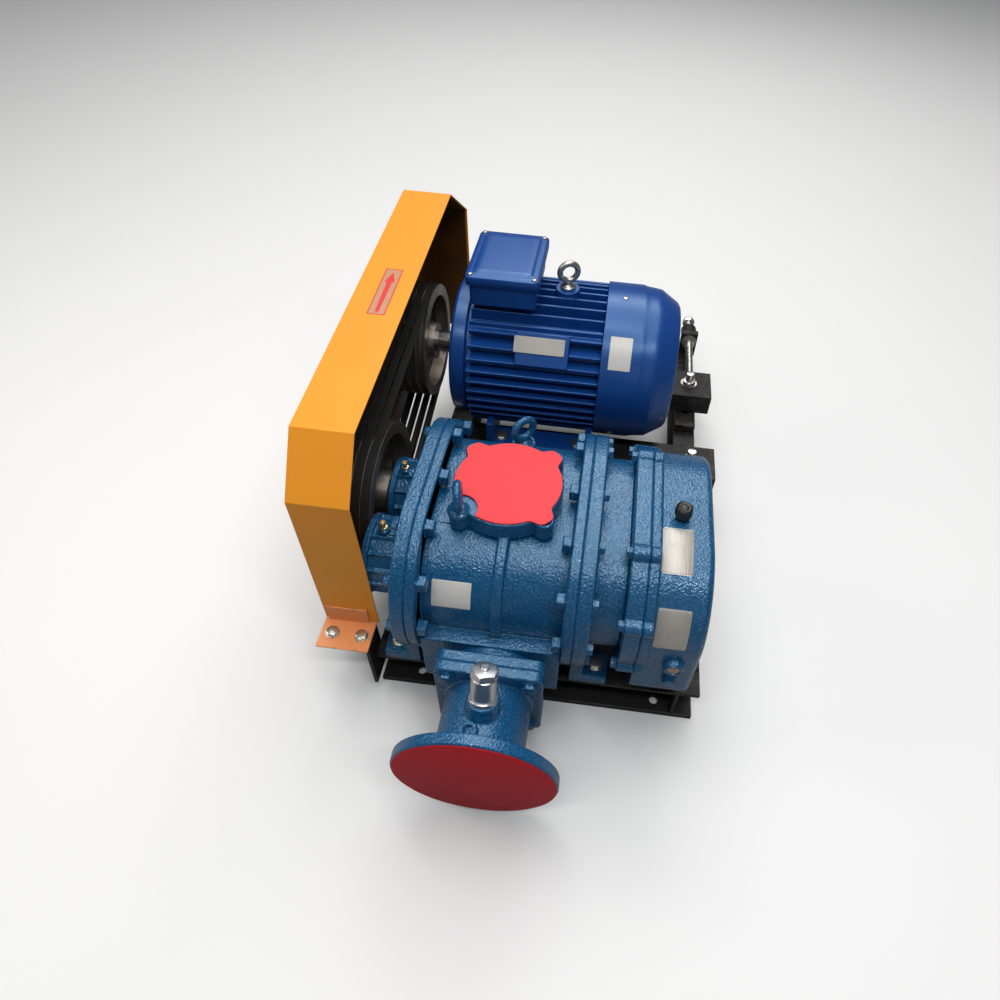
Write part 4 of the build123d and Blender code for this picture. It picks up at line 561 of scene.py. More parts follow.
def finish(
    name, colour, second, rough=(0.3, 0.45), metal=0.0, coat=0.0, coat_rough=0.1, grain=(300.0, 0.0),
    grime=0.2, fleck=0.0, wear=None, lines=None, specular=0.5, tint=(1, 1, 1), shade_limit_x=None,
):
    """A finish: a colour that drifts to a second one, relief, grime, worn edges and gloss changes.

    grain is the relief's scale and depth. fleck above zero makes it hammered paint with light
    flecks. wear is the colour under the paint, lines the stretch of brushed metal, and tint the
    colour of its sheen. shade_limit_x is an X up to which the faces that look into the guard get
    painted shade: their colour is mixed towards near-black.
    """
    material = bpy.data.materials.new(name)
    material.use_nodes = True
    material.node_tree.nodes.clear()
    web = Web(material.node_tree)
    place = web.add("ShaderNodeTexCoord").outputs["Object"]
    dirt = group_node(web, "grime", {"Vector": place})
    base = mixed(web, dirt.outputs["Patch"], colour, second)
    base = mixed(web, web.math("MULTIPLY", dirt.outputs["Mask"], grime), base, shade(colour, 0.35))
    if fleck:
        relief = group_node(web, "hammered", {"Vector": place, "Scale": grain[0]})
        light = [min(1.0, c * 2.0 + 0.05) for c in colour]
        base = mixed(web, web.math("MULTIPLY", relief.outputs["Fleck"], fleck), base, light)
        height = relief.outputs["Height"]
    elif lines:
        height = group_node(web, "brushed_lines", {"Vector": place, "Stretch": lines}).outputs["Lines"]
    else:
        height = group_node(web, "cast_grain", {"Vector": place, "Scale": grain[0]}).outputs["Height"]
    if wear:
        chips = group_node(web, "edge_wear", {"Vector": place})
        base = mixed(web, chips.outputs["Mask"], base, wear)
    # painted shade: the faces that look into the guard are mixed towards near-black
    if shade_limit_x is not None:
        inner_shade = group_node(web, "belt_dust", {"Vector": place, "Reach": shade_limit_x})
        base = mixed(web, inner_shade.outputs["Mask"], base, (0.03, 0.014, 0.008))
    gloss = web.add(
        "ShaderNodeMapRange",
        {"Value": dirt.outputs["Mask"], "To Min": rough[0], "To Max": rough[1]},
    )
    bump = web.add("ShaderNodeBump", {"Height": height, "Strength": 0.6, "Distance": grain[1]})
    shader = web.add(
        "ShaderNodeBsdfPrincipled",
        {
            "Base Color": base, "Roughness": gloss.outputs[0], "Metallic": metal,
            "Coat Weight": coat, "Coat Roughness": coat_rough, "Specular IOR Level": specular,
            "Specular Tint": (*tint, 1),
            "Normal": bump.outputs[0], "Coat Normal": bump.outputs[0],
        },
    )
    web.give(shader.outputs[0], web.add("ShaderNodeOutputMaterial"), "Surface")
    return material


def pale_floor():
    """A matt floor that looks pale but throws little light up at the part."""
    material = finish("pale_floor", (0.9, 0.9, 0.9), (0.88, 0.88, 0.88), (0.8, 0.85), grime=0.0)
    web = Web(material.node_tree)
    shader = next(node for node in web.tree.nodes if node.type == "BSDF_PRINCIPLED")
    seen = web.add("ShaderNodeLightPath").outputs["Is Camera Ray"]
    pale = shader.inputs["Base Color"].links[0].from_socket
    web.give(mixed(web, seen, (0.34, 0.34, 0.34), pale), shader, "Base Color")
    return material


def build_finishes(colours):
    """Every finish of the pump set, from the user's colours."""
    build_groups()
    pump, motor, guard = colours.pump_blue, colours.motor_blue, colours.guard_orange
    inlet, outlet = colours.inlet_red, colours.outlet_shaded_red
    finish(
        "hammered_blue", pump, shade(pump, 0.7), (0.22, 0.36), coat=0.5, coat_rough=0.08,
        grain=(330.0, 0.001), grime=0.3, fleck=0.3, specular=0.75, tint=(0.4, 0.75, 1.0),
    )
    finish(
        "motor_gloss_blue", motor, shade(motor, 0.8), (0.3, 0.42), coat=0.08,
        coat_rough=0.1, grain=(700.0, 0.0002), grime=0.25, specular=0.9, tint=(0.4, 0.7, 1.0),
    )
    finish(
        "guard_orange", guard, shade(guard, 0.93), (0.34, 0.46), coat=0.08,
        coat_rough=0.2, grain=(60.0, 0.0004), grime=0.06, specular=0.35, tint=(1.0, 0.75, 0.4),
        # painted shade on the guard's inward faces, stopping just short of its right edge
        shade_limit_x=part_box("belt_guard")[1][0] - 0.004,
    )
    finish(
        "foot_orange", (0.95, 0.36, 0.13), (0.85, 0.3, 0.1), (0.35, 0.5), coat=0.2,
        coat_rough=0.2, grain=(120.0, 0.0006), grime=0.25, wear=(0.3, 0.2, 0.12),
    )
    finish(
        "frame_black", (0.012, 0.012, 0.013), (0.022, 0.021, 0.02), (0.42, 0.66), specular=0.25,
        grain=(500.0, 0.0004), grime=0.3, wear=(0.07, 0.055, 0.045),
    )
    finish(
        "zinc_plate", (0.66, 0.65, 0.61), (0.52, 0.5, 0.44), (0.2, 0.42), metal=0.92,
        grain=(900.0, 0.0002), grime=0.4,
    )
    finish(
        "bare_steel", (0.5, 0.49, 0.48), (0.4, 0.39, 0.38), (0.22, 0.42), metal=1.0,
        grain=(900.0, 0.0003), lines=(900.0, 60.0, 60.0), grime=0.3,
    )
    finish(
        "machined_iron", (0.3, 0.26, 0.225), (0.2, 0.165, 0.14), (0.32, 0.6), metal=0.8,
        grain=(600.0, 0.0004), grime=0.6,
    )
    finish(
        "belt_rubber", (0.012, 0.012, 0.012), (0.02, 0.019, 0.018), (0.45, 0.7),
        grain=(900.0, 0.0004), grime=0.3,
    )
    finish(
        "black_moulded", (0.012, 0.012, 0.012), (0.02, 0.02, 0.02), (0.3, 0.5),
        grain=(900.0, 0.0003), grime=0.2,
    )
    finish(
        "brass", (0.75, 0.56, 0.28), (0.58, 0.42, 0.2), (0.18, 0.38), metal=1.0,
        grain=(900.0, 0.0002), grime=0.4,
    )
    finish(
        "cast_aluminium", (0.78, 0.78, 0.78), (0.66, 0.66, 0.67), (0.3, 0.42), metal=0.95,
        grain=(900.0, 0.0003), grime=0.2,
    )
    finish(
        "plate_aluminium", (0.6, 0.58, 0.54), (0.48, 0.45, 0.41), (0.45, 0.58), metal=0.5,
        grain=(700.0, 0.0006), lines=(900.0, 25.0, 25.0), grime=0.5,
    )
    finish(
        "cover_inlet_red", inlet, shade(inlet, 0.96), (0.5, 0.6), grain=(200.0, 0.0001),
        grime=0.03, specular=0.2,
    )
    # painted shade: the discharge cover faces the front, and its red is made darker than the inlet cover's
    # to paint in that shade
    finish(
        "cover_outlet_red", outlet, shade(outlet, 0.9), (0.5, 0.6), grain=(200.0, 0.0001),
        grime=0.08, specular=0.15,
    )
    finish(
        "arrow_red", (0.78, 0.03, 0.03), (0.68, 0.03, 0.025), (0.3, 0.4), grain=(300.0, 0.0001), grime=0.1
    )
    finish(
        "faded_film", (0.62, 0.3, 0.15), (0.5, 0.26, 0.15), (0.25, 0.4), grain=(160.0, 0.0001), grime=0.3
    )
    finish(
        "white_film", (0.72, 0.71, 0.67), (0.62, 0.61, 0.57), (0.3, 0.4), grain=(200.0, 0.0001), grime=0.2
    )
    finish(
        "copper_winding", (0.45, 0.18, 0.08), (0.35, 0.12, 0.05), (0.35, 0.5), metal=0.6,
        grain=(500.0, 0.0004), grime=0.4,
    )
    finish(
        "sight_oil", (0.42, 0.24, 0.13), (0.3, 0.17, 0.09), (0.04, 0.1), coat=1.0, coat_rough=0.02,
        grain=(80.0, 0.0001), grime=0.3,
    )


# ---- settings a user would change ----------------------------------------------------
class RootsColours(PropertyGroup):
    """Colours of the paints and covers."""

    pump_blue: FloatVectorProperty(
        name="Pump blue", description="Hammered paint of the pump castings", subtype="COLOR",
        default=(0.006, 0.088, 0.22), min=0, max=1,
    )
    motor_blue: FloatVectorProperty(
        name="Motor blue", description="Gloss paint of the motor", subtype="COLOR",
        default=(0.008, 0.062, 0.29), min=0, max=1,
    )
    guard_orange: FloatVectorProperty(
        name="Guard orange", description="Paint of the belt guard", subtype="COLOR",
        default=(0.94, 0.35, 0.03), min=0, max=1,
    )
    inlet_red: FloatVectorProperty(
        name="Inlet cover red", description="Cover on the suction flange", subtype="COLOR",
        default=(0.84, 0.062, 0.072), min=0, max=1,
    )
    # painted shade: darker than the inlet red, for the cover that faces the front
    outlet_shaded_red: FloatVectorProperty(
        name="Discharge cover red", description="Cover on the discharge flange", subtype="COLOR",
        default=(0.55, 0.016, 0.026), min=0, max=1,
    )


class RootsSizes(PropertyGroup):
    """Sizes of the dressing."""

    casting_edge: FloatProperty(
        name="Casting edge", description="Rounding of the cast edges", subtype="DISTANCE",
        default=0.0022, min=0.0002, max=0.005,
    )
    sheet_edge: FloatProperty(
        name="Sheet edge", description="Rounding of sheet metal edges", subtype="DISTANCE",
        default=0.0007, min=0.0001, max=0.002,
    )
    arrow_length: FloatProperty(
        name="Arrow length", description="Length of the turning arrow on the guard",
        subtype="DISTANCE", default=0.109, min=0.04, max=0.3,
    )
    camera_height: FloatProperty(
        name="Camera height", description="Height of the camera above the floor",
        subtype="DISTANCE", default=1.06188, min=0.2, max=3.0,
    )


# ---- places on the part ---------------------------------------------------------------
AXES = {joint["name"]: np.array(joint["pos_m"]) for joint in frame["joints"] if "pos_m" in joint}
PORTS = {mount["name"]: np.array(mount["pos_m"]) for mount in frame["record"]["mounts"]}
VALVE_TILT = radians(25)
VALVE_AXIS = np.array((0.0, sin(VALVE_TILT), cos(VALVE_TILT)))
UP = np.array((0.0, 0.0, 1.0))
FRONT = np.array((0.0, -1.0, 0.0))


def corners(node):
    """The lowest and highest corners of a node, as arrays."""
    low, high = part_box(node)
    return np.array(low), np.array(high)


def always(sign):
    """A side that is the same for every bolt."""
    return lambda middle: sign


# ---- operators ------------------------------------------------------------------------
class ROOTS_OT_stage(Operator):
    """Adds the camera, the soft lights and the pale floor"""

    bl_idname = "roots.stage"
    bl_label = "Stage"

    def execute(self, context):
        scene = context.scene
        yaw, pitch, roll = (radians(angle) for angle in CAMERA_TURN)
        forward = Vector((sin(yaw) * cos(pitch), cos(yaw) * cos(pitch), -sin(pitch)))
        level = Vector((cos(yaw), -sin(yaw), 0))
        rise = level.cross(forward)
        right = level * cos(roll) + rise * sin(roll)
        up = rise * cos(roll) - level * sin(roll)
        lens = bpy.data.cameras.new("camera")
        lens.sensor_width = SENSOR
        lens.lens = SENSOR * LENS_SHARE
        lens.shift_x, lens.shift_y = LENS_SHIFT
        lens.clip_end = 50
        camera = added("camera", lens)
        place = Matrix((right, up, -forward)).transposed().to_4x4()
        place.translation = (*CAMERA_SPOT, scene.roots_sizes.camera_height)
        camera.matrix_world = place
        scene.camera = camera
        scene.view_settings.view_transform = "Standard"
        world = bpy.data.worlds.new("studio")
        world.use_nodes = True
        sky = world.node_tree.nodes["Background"].inputs
        sky["Color"].default_value = (0.92, 0.96, 1.0, 1)
        sky["Strength"].default_value = 0.1
        scene.world = world
        for name, spot, aim, size, depth, power, tint in (
            ("roof_light", (0.0, 1.2, 4.0), (0, -0.1, 0.2), 4.0, 4.0, 104, (1, 0.99, 0.97)),
            ("back_panel", (0.1, 2.7, 3.0), (0, 0, 0.3), 1.8, 1.4, 26, (1, 1, 1)),
            ("left_light", (-1.8, -0.3, 1.6), (0, -0.1, 0.3), 0.7, 0.7, 6, (1, 0.98, 0.95)),
            ("front_light", (0.6, -2.3, 1.2), (0, -0.3, 0.2), 1.0, 1.0, 2, (0.95, 0.97, 1)),
            ("front_strip", (0.1, -1.3, 2.5), (0, -0.35, 0.25), 2.6, 0.04, 22, (1, 1, 1)),
            ("top_strip", (0.1, -0.25, 3.0), (0, -0.35, 0.25), 2.6, 0.04, 15, (1, 1, 1)),
        ):
            lamp = bpy.data.lights.new(name, "AREA")
            lamp.shape = "RECTANGLE"
            lamp.size = size
            lamp.size_y = depth
            lamp.energy = power
            lamp.color = tint
            holder = added(name, lamp)
            holder.location = spot
            holder.rotation_euler = (Vector(aim) - Vector(spot)).to_track_quat("-Z", "Y").to_euler()
        mesh = bpy.data.meshes.new("floor")
        mesh.from_pydata(
            [(FLOOR * x, FLOOR * y, 0) for x, y in ((-1, -1), (1, -1), (1, 1), (-1, 1))], [], [(0, 1, 2, 3)]
        )
        mesh.materials.append(pale_floor())
        added("floor", mesh)
        return {"FINISHED"}


class ROOTS_OT_base(Operator):
    """Dresses the channel base and the motor slide, and adds welds and threaded studs"""

    bl_idname = "roots.base"
    bl_label = "Base frame"

    def execute(self, context):
        for node in (
            "base_front_rail", "base_rear_rail", "base_left_rail", "base_right_rail",
            "base_cross_rail", "slide_pads", "motor_front_bar", "motor_rear_bar", "jack_brackets",
            "guard_bracket",
        ):
            dressed(node, "frame_black", 0.0012)
        beads = []
        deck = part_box("base_rear_rail")[1][2]
        for node in ("base_left_rail", "base_right_rail"):
            low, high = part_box(node)
            for y in (low[1], high[1]):
                beads.append(weld((low[0] + 0.002, y, high[2]), (high[0] - 0.002, y, high[2])))
        cross_low, cross_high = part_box("base_cross_rail")
        for x in (cross_low[0], cross_high[0]):
            beads.append(weld((x, cross_low[1], cross_high[2]), (x, cross_high[1], cross_high[2])))
        for low, high in islands("jack_brackets"):
            beads.append(weld((low[0] + 0.002, low[1], deck), (high[0] - 0.002, low[1], deck)))
        for low, high in islands("slide_pads"):
            for x in (low[0], high[0]):
                beads.append(weld((x, low[1] + 0.01, low[2]), (x, high[1] - 0.01, low[2]), 0.0024))
        piece("weld_beads", gather(beads), "frame_black", angle=60)
        studs = []
        radius, flat, height = 0.008, 0.0118, 0.013
        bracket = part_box("jack_brackets")[0][1]
        for low, high in islands("jack_bolts"):
            middle = (low + high) / 2
            start = np.array((middle[0], low[1], middle[2]))
            length = high[1] - low[1]
            studs.append(thread(start, -FRONT, radius, length - 0.004))
            studs.append(hex_head(start - FRONT * (length - height), -FRONT, flat, height, 0.3))
            lock = np.array((middle[0], bracket, middle[2]))
            studs.append(hex_head(lock, FRONT, flat, height - 0.002, 0.1, 0.002))
        piece("jack_studs", gather(studs), "zinc_plate", replaces=("jack_bolts",), angle=25)
        return {"FINISHED"}


class ROOTS_OT_guard(Operator):
    """Dresses the belt guard and its foot, and adds the turning arrow"""

    bl_idname = "roots.guard"
    bl_label = "Belt guard"

    def execute(self, context):
        sizes = context.scene.roots_sizes
        dressed("belt_guard", "guard_orange", sizes.sheet_edge)
        dressed("guard_foot", "foot_orange", sizes.sheet_edge)
        low, high = corners("belt_guard")
        # the long slope runs from the front fold to the highest fold
        front = np.array((0.0, low[1] + 0.061, high[2] - 0.0355))
        slope = np.array((0.0, 0.557, 0.0355))
        slope /= np.linalg.norm(slope)
        normal = np.array((0.0, -slope[2], slope[1]))
        middle = front + slope * 0.279
        middle[0] = (low[0] + high[0]) / 2 + 0.0035
        long, wide, bar = sizes.arrow_length, sizes.arrow_length * 0.24, 0.0018
        across = np.array((1.0, 0.0, 0.0))
        film = 0.00015
        piece("arrow_film", plate(middle, normal, slope, long, wide, film, 0.0005), "faded_film")
        solids = []
        lift = normal * (film * 0.5)
        for side in (-1, 1):
            edge = middle + across * side * (wide - bar) / 2 + lift
            solids.append(plate(edge, normal, slope, long, bar, film, 0.0004))
            edge = middle + slope * side * (long - bar) / 2 + lift
            solids.append(plate(edge, normal, across, wide, bar, film, 0.0004))
        tip, neck, tail = (middle + slope * long * share for share in (0.42, 0.2, -0.44))
        sides = ((neck, 0.3), (neck, 0.15), (tail, 0.11), (tail, -0.11), (neck, -0.15), (neck, -0.3))
        shape = np.array([tip, *(spot + across * wide * share for spot, share in sides)])[::-1]
        solids.append(loft(np.array([shape + lift, shape + lift + normal * film])))
        piece("turning_arrow", gather(solids), "arrow_red")
        return {"FINISHED"}


class ROOTS_OT_belt_drive(Operator):
    """Dresses the belts and pulleys"""

    bl_idname = "roots.belt_drive"
    bl_label = "Belt drive"

    def execute(self, context):
        dressed("v_belts", "belt_rubber", 0.0006)
        for node in ("motor_pulley", "pump_pulley"):
            dressed(node, "machined_iron", 0.0006)
        return {"FINISHED"}


class ROOTS_OT_motor(Operator):
    """Dresses the motor and adds its box lid, eyebolt, screws and bare nameplate"""

    bl_idname = "roots.motor"
    bl_label = "Motor"

    def execute(self, context):
        axis = AXES["motor_shaft_spin"]
        for node, edge in (
            ("motor_frame", 0.0011), ("motor_drive_shield", 0.0016), ("motor_rear_shield", 0.0012),
            ("fan_cover", 0.001), ("terminal_box", 0.0015),
        ):
            dressed(node, "motor_gloss_blue", edge)
        dressed("cooling_fan", "black_moulded", 0.0006)
        dressed("motor_rotor", "bare_steel", 0.0008)
        dressed("motor_stator", "copper_winding", 0.001)
        dressed("motor_bearings", "bare_steel", 0.0006)
        # box lid: a rounded rectangle that steps in to a raised field
        low, high = corners("terminal_box_lid")
        size, middle = high - low, (low + high) / 2
        rings = []
        for inset, drop, corner in (
            (0.001, 0.02, 0.009), (0.0, 0.019, 0.01), (0.0, 0.0055, 0.01), (0.0012, 0.004, 0.0095),
            (0.008, 0.0034, 0.009), (0.0105, 0.0036, 0.009), (0.0135, 0.001, 0.008),
            (0.0155, 0.0002, 0.007), (0.022, 0.0, 0.006),
        ):
            across, up = rounded(size[0] - 2 * inset, size[1] - 2 * inset, corner, 64)
            ring = np.stack((middle[0] + across, middle[1] + up, np.full(64, high[2] - drop)), -1)
            rings.append(ring)
        lid = loft(np.array(rings))
        piece("box_lid", lid, "motor_gloss_blue", replaces=("terminal_box_lid",), angle=50)
        screws = []
        for foot, top in islands("terminal_box_screws"):
            spot = (foot + top) / 2
            spot[2] = foot[2] - 0.001
            screws.append(pan_screw(spot, UP, 0.0042, 0.003))
        piece("box_screws", gather(screws), "zinc_plate", replaces=("terminal_box_screws",))
        cover_low, cover_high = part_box("fan_cover")
        radius = (cover_high[2] - cover_low[2]) / 2
        screws = []
        for angle in (86, -34, 206):
            out = np.array((0.0, -cos(radians(angle)), sin(radians(angle))))
            spot = np.array((cover_low[0] + 0.03, axis[1], axis[2])) + out * (radius - 0.0003)
            screws.append(pan_screw(spot, out, 0.0045, 0.0022))
        piece("fan_cover_screws", gather(screws), "zinc_plate")
        low, high = corners("motor_eyebolt")
        foot = np.array(((low[0] + high[0]) / 2, axis[1], low[2]))
        profile = [
            (0, 0.0115), (0.0008, 0.0128), (0.0042, 0.0128), (0.005, 0.0118), (0.0075, 0.0075),
            (0.011, 0.0062), (0.0125, 0.0062),
        ]
        eye = [turned(profile, foot, UP), ring_eye(foot + UP * 0.029, radians(20), 0.015, 0.005)]
        piece("eyebolt", gather(eye), "zinc_plate", replaces=("motor_eyebolt",), angle=50)
        # bare nameplate on the slanting pad
        tilt = radians(38)
        out = np.array((0.0, -cos(tilt), sin(tilt)))
        frame_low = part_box("motor_frame")[0]
        spot = np.array((frame_low[0] + 0.126, axis[1], axis[2])) + out * 0.13405
        spot += np.array((0.0, sin(tilt), cos(tilt))) * 0.007
        riveted_plate("motor_nameplate", spot, out, (1, 0, 0), 0.084, 0.027)
        runs = radius * radians(90 - 53), radius * radians(90 - 30)
        centre = axis[1], axis[2]
        blank = bent_plate(cover_low[0] + 0.031, 0.036, runs, centre, radius + 0.0001, 0.0002, 0.001)
        piece("blank_label", blank, "white_film")
        bolts("motor_foot_bolts", "zinc_plate", 2, always(1), head=0.0075, washer=0.0016)
        bolts("clamp_bolts", "zinc_plate", 2, always(1), head=0.010, washer=0.002, threaded=0.016)
        return {"FINISHED"}


def pan_screw(foot, direction, radius, height):
    """A pan head screw: a low dome turned about its axis, with a driver recess in its top."""
    share = np.linspace(0, 1, 7)
    dome = [(height * sin(pi / 2 * s) ** 0.7, radius * cos(pi / 2 * s * 0.72)) for s in share]
    dome += [(height, radius * 0.36), (height * 0.55, radius * 0.22)]
    return turned([(0.0, radius)] + dome, foot, direction, 24)


def riveted_plate(name, spot, normal, along, width, height):
    """A bare plate with a rivet near each corner."""
    u = np.asarray(along, float)
    v = np.cross(np.asarray(normal, float), u)
    solids = [plate(spot, normal, along, width, height, PLATE_THICK, 0.0018)]
    for i, k in CORNERS:
        corner = spot + u * i * (width / 2 - RIVET_INSET) + v * k * (height / 2 - RIVET_INSET)
        solids.append(rivet(corner + normal * 0.0006, normal))
    piece(name, gather(solids), "plate_aluminium")


class ROOTS_OT_pump(Operator):
    """Dresses the pump castings, rotors, gears and bearings"""

    bl_idname = "roots.pump"
    bl_label = "Pump"

    def execute(self, context):
        edge = context.scene.roots_sizes.casting_edge
        for node in (
            "pump_casing", "drive_end_plate", "gear_end_plate", "drive_bearing_housing",
            "driven_bearing_housing", "gear_case_back", "gear_case_cover", "outlet_pipe",
        ):
            dressed(node, "hammered_blue", edge, joined=node != "gear_case_cover")
        for node in ("drive_rotor", "driven_rotor"):
            dressed(node, "machined_iron", 0.0006)
        for node in ("drive_gear", "driven_gear", "drive_rotor_bearings", "driven_rotor_bearings"):
            dressed(node, "bare_steel", 0.0003)
        dressed("shaft_seals", "belt_rubber", 0.0006)
        eyes = []
        profile = [
            (0, 0.015), (0.001, 0.016), (0.0035, 0.016), (0.0055, 0.014), (0.0085, 0.009),
            (0.011, 0.006),
        ]
        from_front = sorted(islands("lifting_eyes"), key=lambda ends: ends[0][1])
        for (low, high), turn in zip(from_front, (100, 45)):
            middle = (low + high) / 2
            foot = np.array((middle[0], middle[1], high[2] - 0.0475 - 0.005))
            eyes.append(turned(profile, foot, UP))
            eyes.append(ring_eye(foot + UP * 0.03, radians(turn), 0.017, 0.0055))
        piece("pump_eyes", gather(eyes), "hammered_blue", replaces=("lifting_eyes",), angle=50)
        bolts(
            "end_plate_bolts", "hammered_blue", 0,
            lambda middle: 1 if middle[0] > AXES["drive_shaft_spin"][0] else -1,
            head=0.0078, washer=0.0012,
        )
        bolts("gear_case_bolts", "hammered_blue", 0, always(-1), head=0.0078, washer=0.0012)
        bolts("pump_foot_bolts", "zinc_plate", 2, always(1), head=0.0075, washer=0.0016)
        return {"FINISHED"}


class ROOTS_OT_fittings(Operator):
    """Adds the breather cap, sight glass, drain plug and grease nipples"""

    bl_idname = "roots.fittings"
    bl_label = "Fittings"

    def execute(self, context):
        low, high = corners("breather_cap")
        centre = (low + high) / 2
        foot = np.array((centre[0], centre[1], high[2] - 0.022))
        # a ribbed cap: the radius waves with the angle along its side
        angle = full_turn(144)
        rings = []
        for height, radius, rib in (
            (-0.0115, 0.0075, 0), (0.0, 0.0075, 0), (0.0, 0.0092, 0), (0.0055, 0.0092, 0),
            (0.006, 0.0108, 0), (0.0065, 0.0114, 1), (0.0185, 0.0114, 1), (0.0205, 0.011, 0.3),
            (0.0215, 0.0098, 0), (0.0204, 0.0082, 0), (0.0204, 0.006, 0), (0.0216, 0.0048, 0),
            (0.022, 0.003, 0),
        ):
            reach = radius + 0.0005 * rib * np.cos(24 * angle)
            across, up = foot[0] + reach * np.cos(angle), foot[1] + reach * np.sin(angle)
            rings.append(np.stack((across, up, np.full(144, foot[2] + height)), -1))
        piece("breather", loft(np.array(rings)), "black_moulded", "breather", replaces=("breather_cap",))
        low, high = corners("sight_glass")
        spot = np.array(((low[0] + high[0]) / 2, high[1], (low[2] + high[2]) / 2))
        rim = [
            (-0.003, 0.015), (0.0045, 0.015), (0.006, 0.0145), (0.0085, 0.0128), (0.01, 0.0122),
            (0.01, 0.0098), (0.0088, 0.0092),
        ]
        glass = turned([(0.0, 0.0093), (0.0085, 0.0093), (0.0094, 0.006), (0.0097, 0.002)], spot, FRONT)
        piece("sight_ring", turned(rim, spot, FRONT), "hammered_blue", replaces=("sight_glass",))
        piece("sight_window", glass, "sight_oil", angle=60)
        low, high = corners("drain_plug")
        spot = np.array(((low[0] + high[0]) / 2, high[1], (low[2] + high[2]) / 2))
        plug = [
            turned([(-0.002, 0.0108), (0.002, 0.0108), (0.0028, 0.01)], spot, FRONT),
            hex_head(spot + FRONT * 0.0024, FRONT, 0.0085, 0.0065, 0.4),
        ]
        piece("drain_screw", gather(plug), "hammered_blue", replaces=("drain_plug",), angle=25)
        cups = []
        nipple = [
            (0.004, 0.0034), (0.0065, 0.003), (0.009, 0.003), (0.0098, 0.0043), (0.0135, 0.0043),
            (0.014, 0.0038), (0.014, 0.0026), (0.0105, 0.0024),
        ]
        for low, high in islands("grease_nipples"):
            foot = (low + high) / 2
            foot[2] = low[2]
            cups.append(hex_head(foot, UP, 0.0048, 0.005, 0.2))
            cups.append(turned(nipple, foot, UP, 28))
        piece("oil_cups", gather(cups), "brass", replaces=("grease_nipples",), angle=25)
        return {"FINISHED"}


class ROOTS_OT_ports(Operator):
    """Dresses the port covers and adds the relief valve and the gauge boss"""

    bl_idname = "roots.ports"
    bl_label = "Ports"

    def execute(self, context):
        port = PORTS["inlet_port"]
        low, high = corners("inlet_cover")
        eye = min(islands("lifting_eyes"), key=lambda ends: ends[0][1])
        disc = (high[0] - low[0]) / 2
        inlet = lobed_cover(
            port[:2], disc, 0.0135, 0.053 * 2**0.5, 0.19, (eye[0] + eye[1]) / 2, 0.0243, (low[2], high[2])
        )
        piece("inlet_blank", inlet, "cover_inlet_red", "inlet_cap", replaces=("inlet_cover",))
        low, high = corners("outlet_cover")
        reach, spot = (high[0] - low[0]) / 2, (low + high) / 2
        spot[1] = high[1]
        rim = [(0.0, reach - 0.0002), (0.0004, reach), (0.0008, reach), (high[1] - low[1], reach - 0.0035)]
        outlet = turned(rim, spot, FRONT, 160)
        piece("outlet_blank", outlet, "cover_outlet_red", "outlet_cap", replaces=("outlet_cover",), angle=60)
        dressed("relief_valve_disc", "brass", 0.0004)
        spring = dressed("relief_valve_spring", "bare_steel", 0)
        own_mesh(spring)
        port = PORTS["discharge_port"]
        foot = port + (0.0, 0.069, 0.052)
        profile = [
            (0.0202, 0.0195), (0.0208, 0.0195), (0.0252, 0.0195), (0.026, 0.0187), (0.0262, 0.0168),
            (0.028, 0.0166), (0.029, 0.0175), (0.0565, 0.0175), (0.0575, 0.0166),
        ]
        stub = [(0.0665, 0.0058), (0.071, 0.0058), (0.072, 0.0048)]
        solids = [turned(profile, foot, VALVE_AXIS), turned(stub, foot, VALVE_AXIS, 24)]
        solids.append(hex_head(foot + VALVE_AXIS * 0.0565, VALVE_AXIS, 0.0158, 0.0115, 0.35))
        piece("relief_valve", gather(solids), "cast_aluminium", replaces=("relief_valve_body",), angle=25)
        tube, lean = 0.06, radians(11)
        out = np.array((-sin(lean), 0.0, cos(lean)))
        foot = np.array((port[0], port[1] + 0.038, port[2])) + out * (tube - 0.004)
        boss = [
            (0.0, 0.0135), (0.005, 0.0125), (0.0085, 0.0118), (0.0095, 0.011), (0.0095, 0.0072),
            (0.009, 0.0068), (-0.004, 0.0068),
        ]
        piece("gauge_boss", turned(boss, foot, out), "hammered_blue")
        # painted shade: a near-black disc a little way down the boss's bore stands in for the shade inside
        # the gauge hole
        plug = turned([(-0.004, 0.0067), (-0.001, 0.0067)], foot, out)
        piece("gauge_hole", plug, "belt_rubber")
        bolts("square_flange_bolts", "hammered_blue", 1, always(-1), head=0.0075, washer=0.0014)
        bolts("guard_bolts", "zinc_plate", 2, always(1), head=0.00625, washer=0.0016)
        return {"FINISHED"}


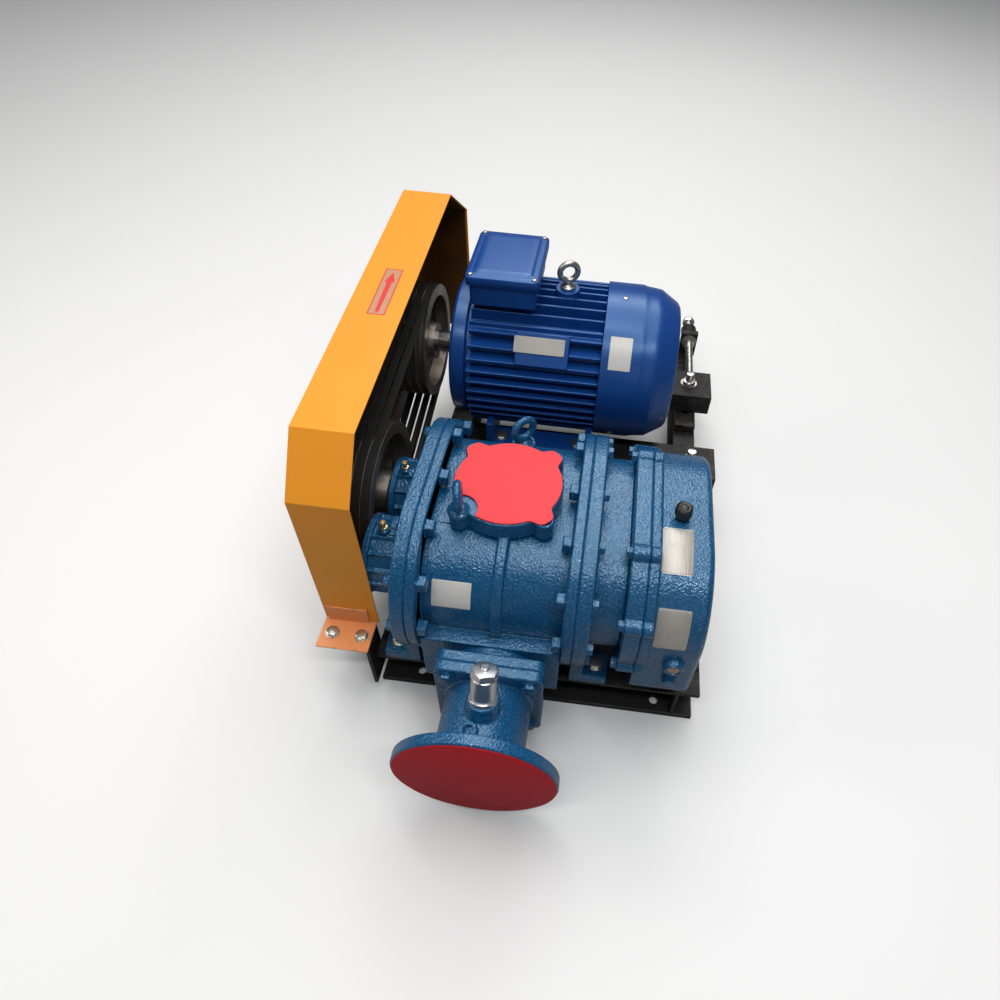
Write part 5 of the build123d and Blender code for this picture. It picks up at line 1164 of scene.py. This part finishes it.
class ROOTS_OT_plates(Operator):
    """Adds the bare plates on the gear case and the casing"""

    bl_idname = "roots.plates"
    bl_label = "Plates"

    def execute(self, context):
        axis = AXES["driven_shaft_spin"]
        centre = axis[1], axis[2]
        # the gear case's arc, then the casing's, each with a hair of clearance
        radius = 0.1101
        top = bent_plate(0.171, 0.041, (-0.019, 0.05), centre, radius, PLATE_THICK, rivets=True)
        runs = radius * radians(90 - 41), radius * radians(90 - 9)
        front = bent_plate(0.174, 0.044, runs, centre, radius, PLATE_THICK, rivets=True)
        piece("gear_case_plates", gather([top, front]), "plate_aluminium", angle=50)
        radius = 0.09685
        runs = radius * radians(90 - 39.5), radius * radians(90 - 15.5)
        label = bent_plate(-0.1195, 0.053, runs, centre, radius, 0.0003, 0.0015)
        piece("casing_blank_label", label, "white_film", angle=50)
        return {"FINISHED"}


class ROOTS_PT_panel(Panel):
    """Lists the steps and the settings"""

    bl_idname = "ROOTS_PT_panel"
    bl_label = "Roots vacuum pump"
    bl_space_type = "VIEW_3D"
    bl_region_type = "UI"
    bl_category = "Roots pump"

    def draw(self, context):
        layout = self.layout
        for settings in (context.scene.roots_colours, context.scene.roots_sizes):
            for name in settings.bl_rna.properties.keys():
                if name not in ("rna_type", "name"):
                    layout.prop(settings, name)
        for step in STEPS:
            layout.operator(step.bl_idname)


STEPS = (
    ROOTS_OT_stage, ROOTS_OT_base, ROOTS_OT_guard, ROOTS_OT_belt_drive, ROOTS_OT_motor,
    ROOTS_OT_pump, ROOTS_OT_fittings, ROOTS_OT_ports, ROOTS_OT_plates,
)
CLASSES = (RootsColours, RootsSizes, *STEPS, ROOTS_PT_panel)


def register():
    """Registers the settings, the operators and the panel."""
    for item in CLASSES:
        bpy.utils.register_class(item)
    bpy.types.Scene.roots_colours = PointerProperty(type=RootsColours)
    bpy.types.Scene.roots_sizes = PointerProperty(type=RootsSizes)


def unregister():
    """Takes them away again."""
    del bpy.types.Scene.roots_sizes
    del bpy.types.Scene.roots_colours
    for item in reversed(CLASSES):
        bpy.utils.unregister_class(item)


def main():
    """Dresses the whole pump set."""
    register()
    build_finishes(bpy.context.scene.roots_colours)
    for step in STEPS:
        group, call = step.bl_idname.split(".")
        getattr(getattr(bpy.ops, group), call)()


if __name__ == "__main__":
    main()
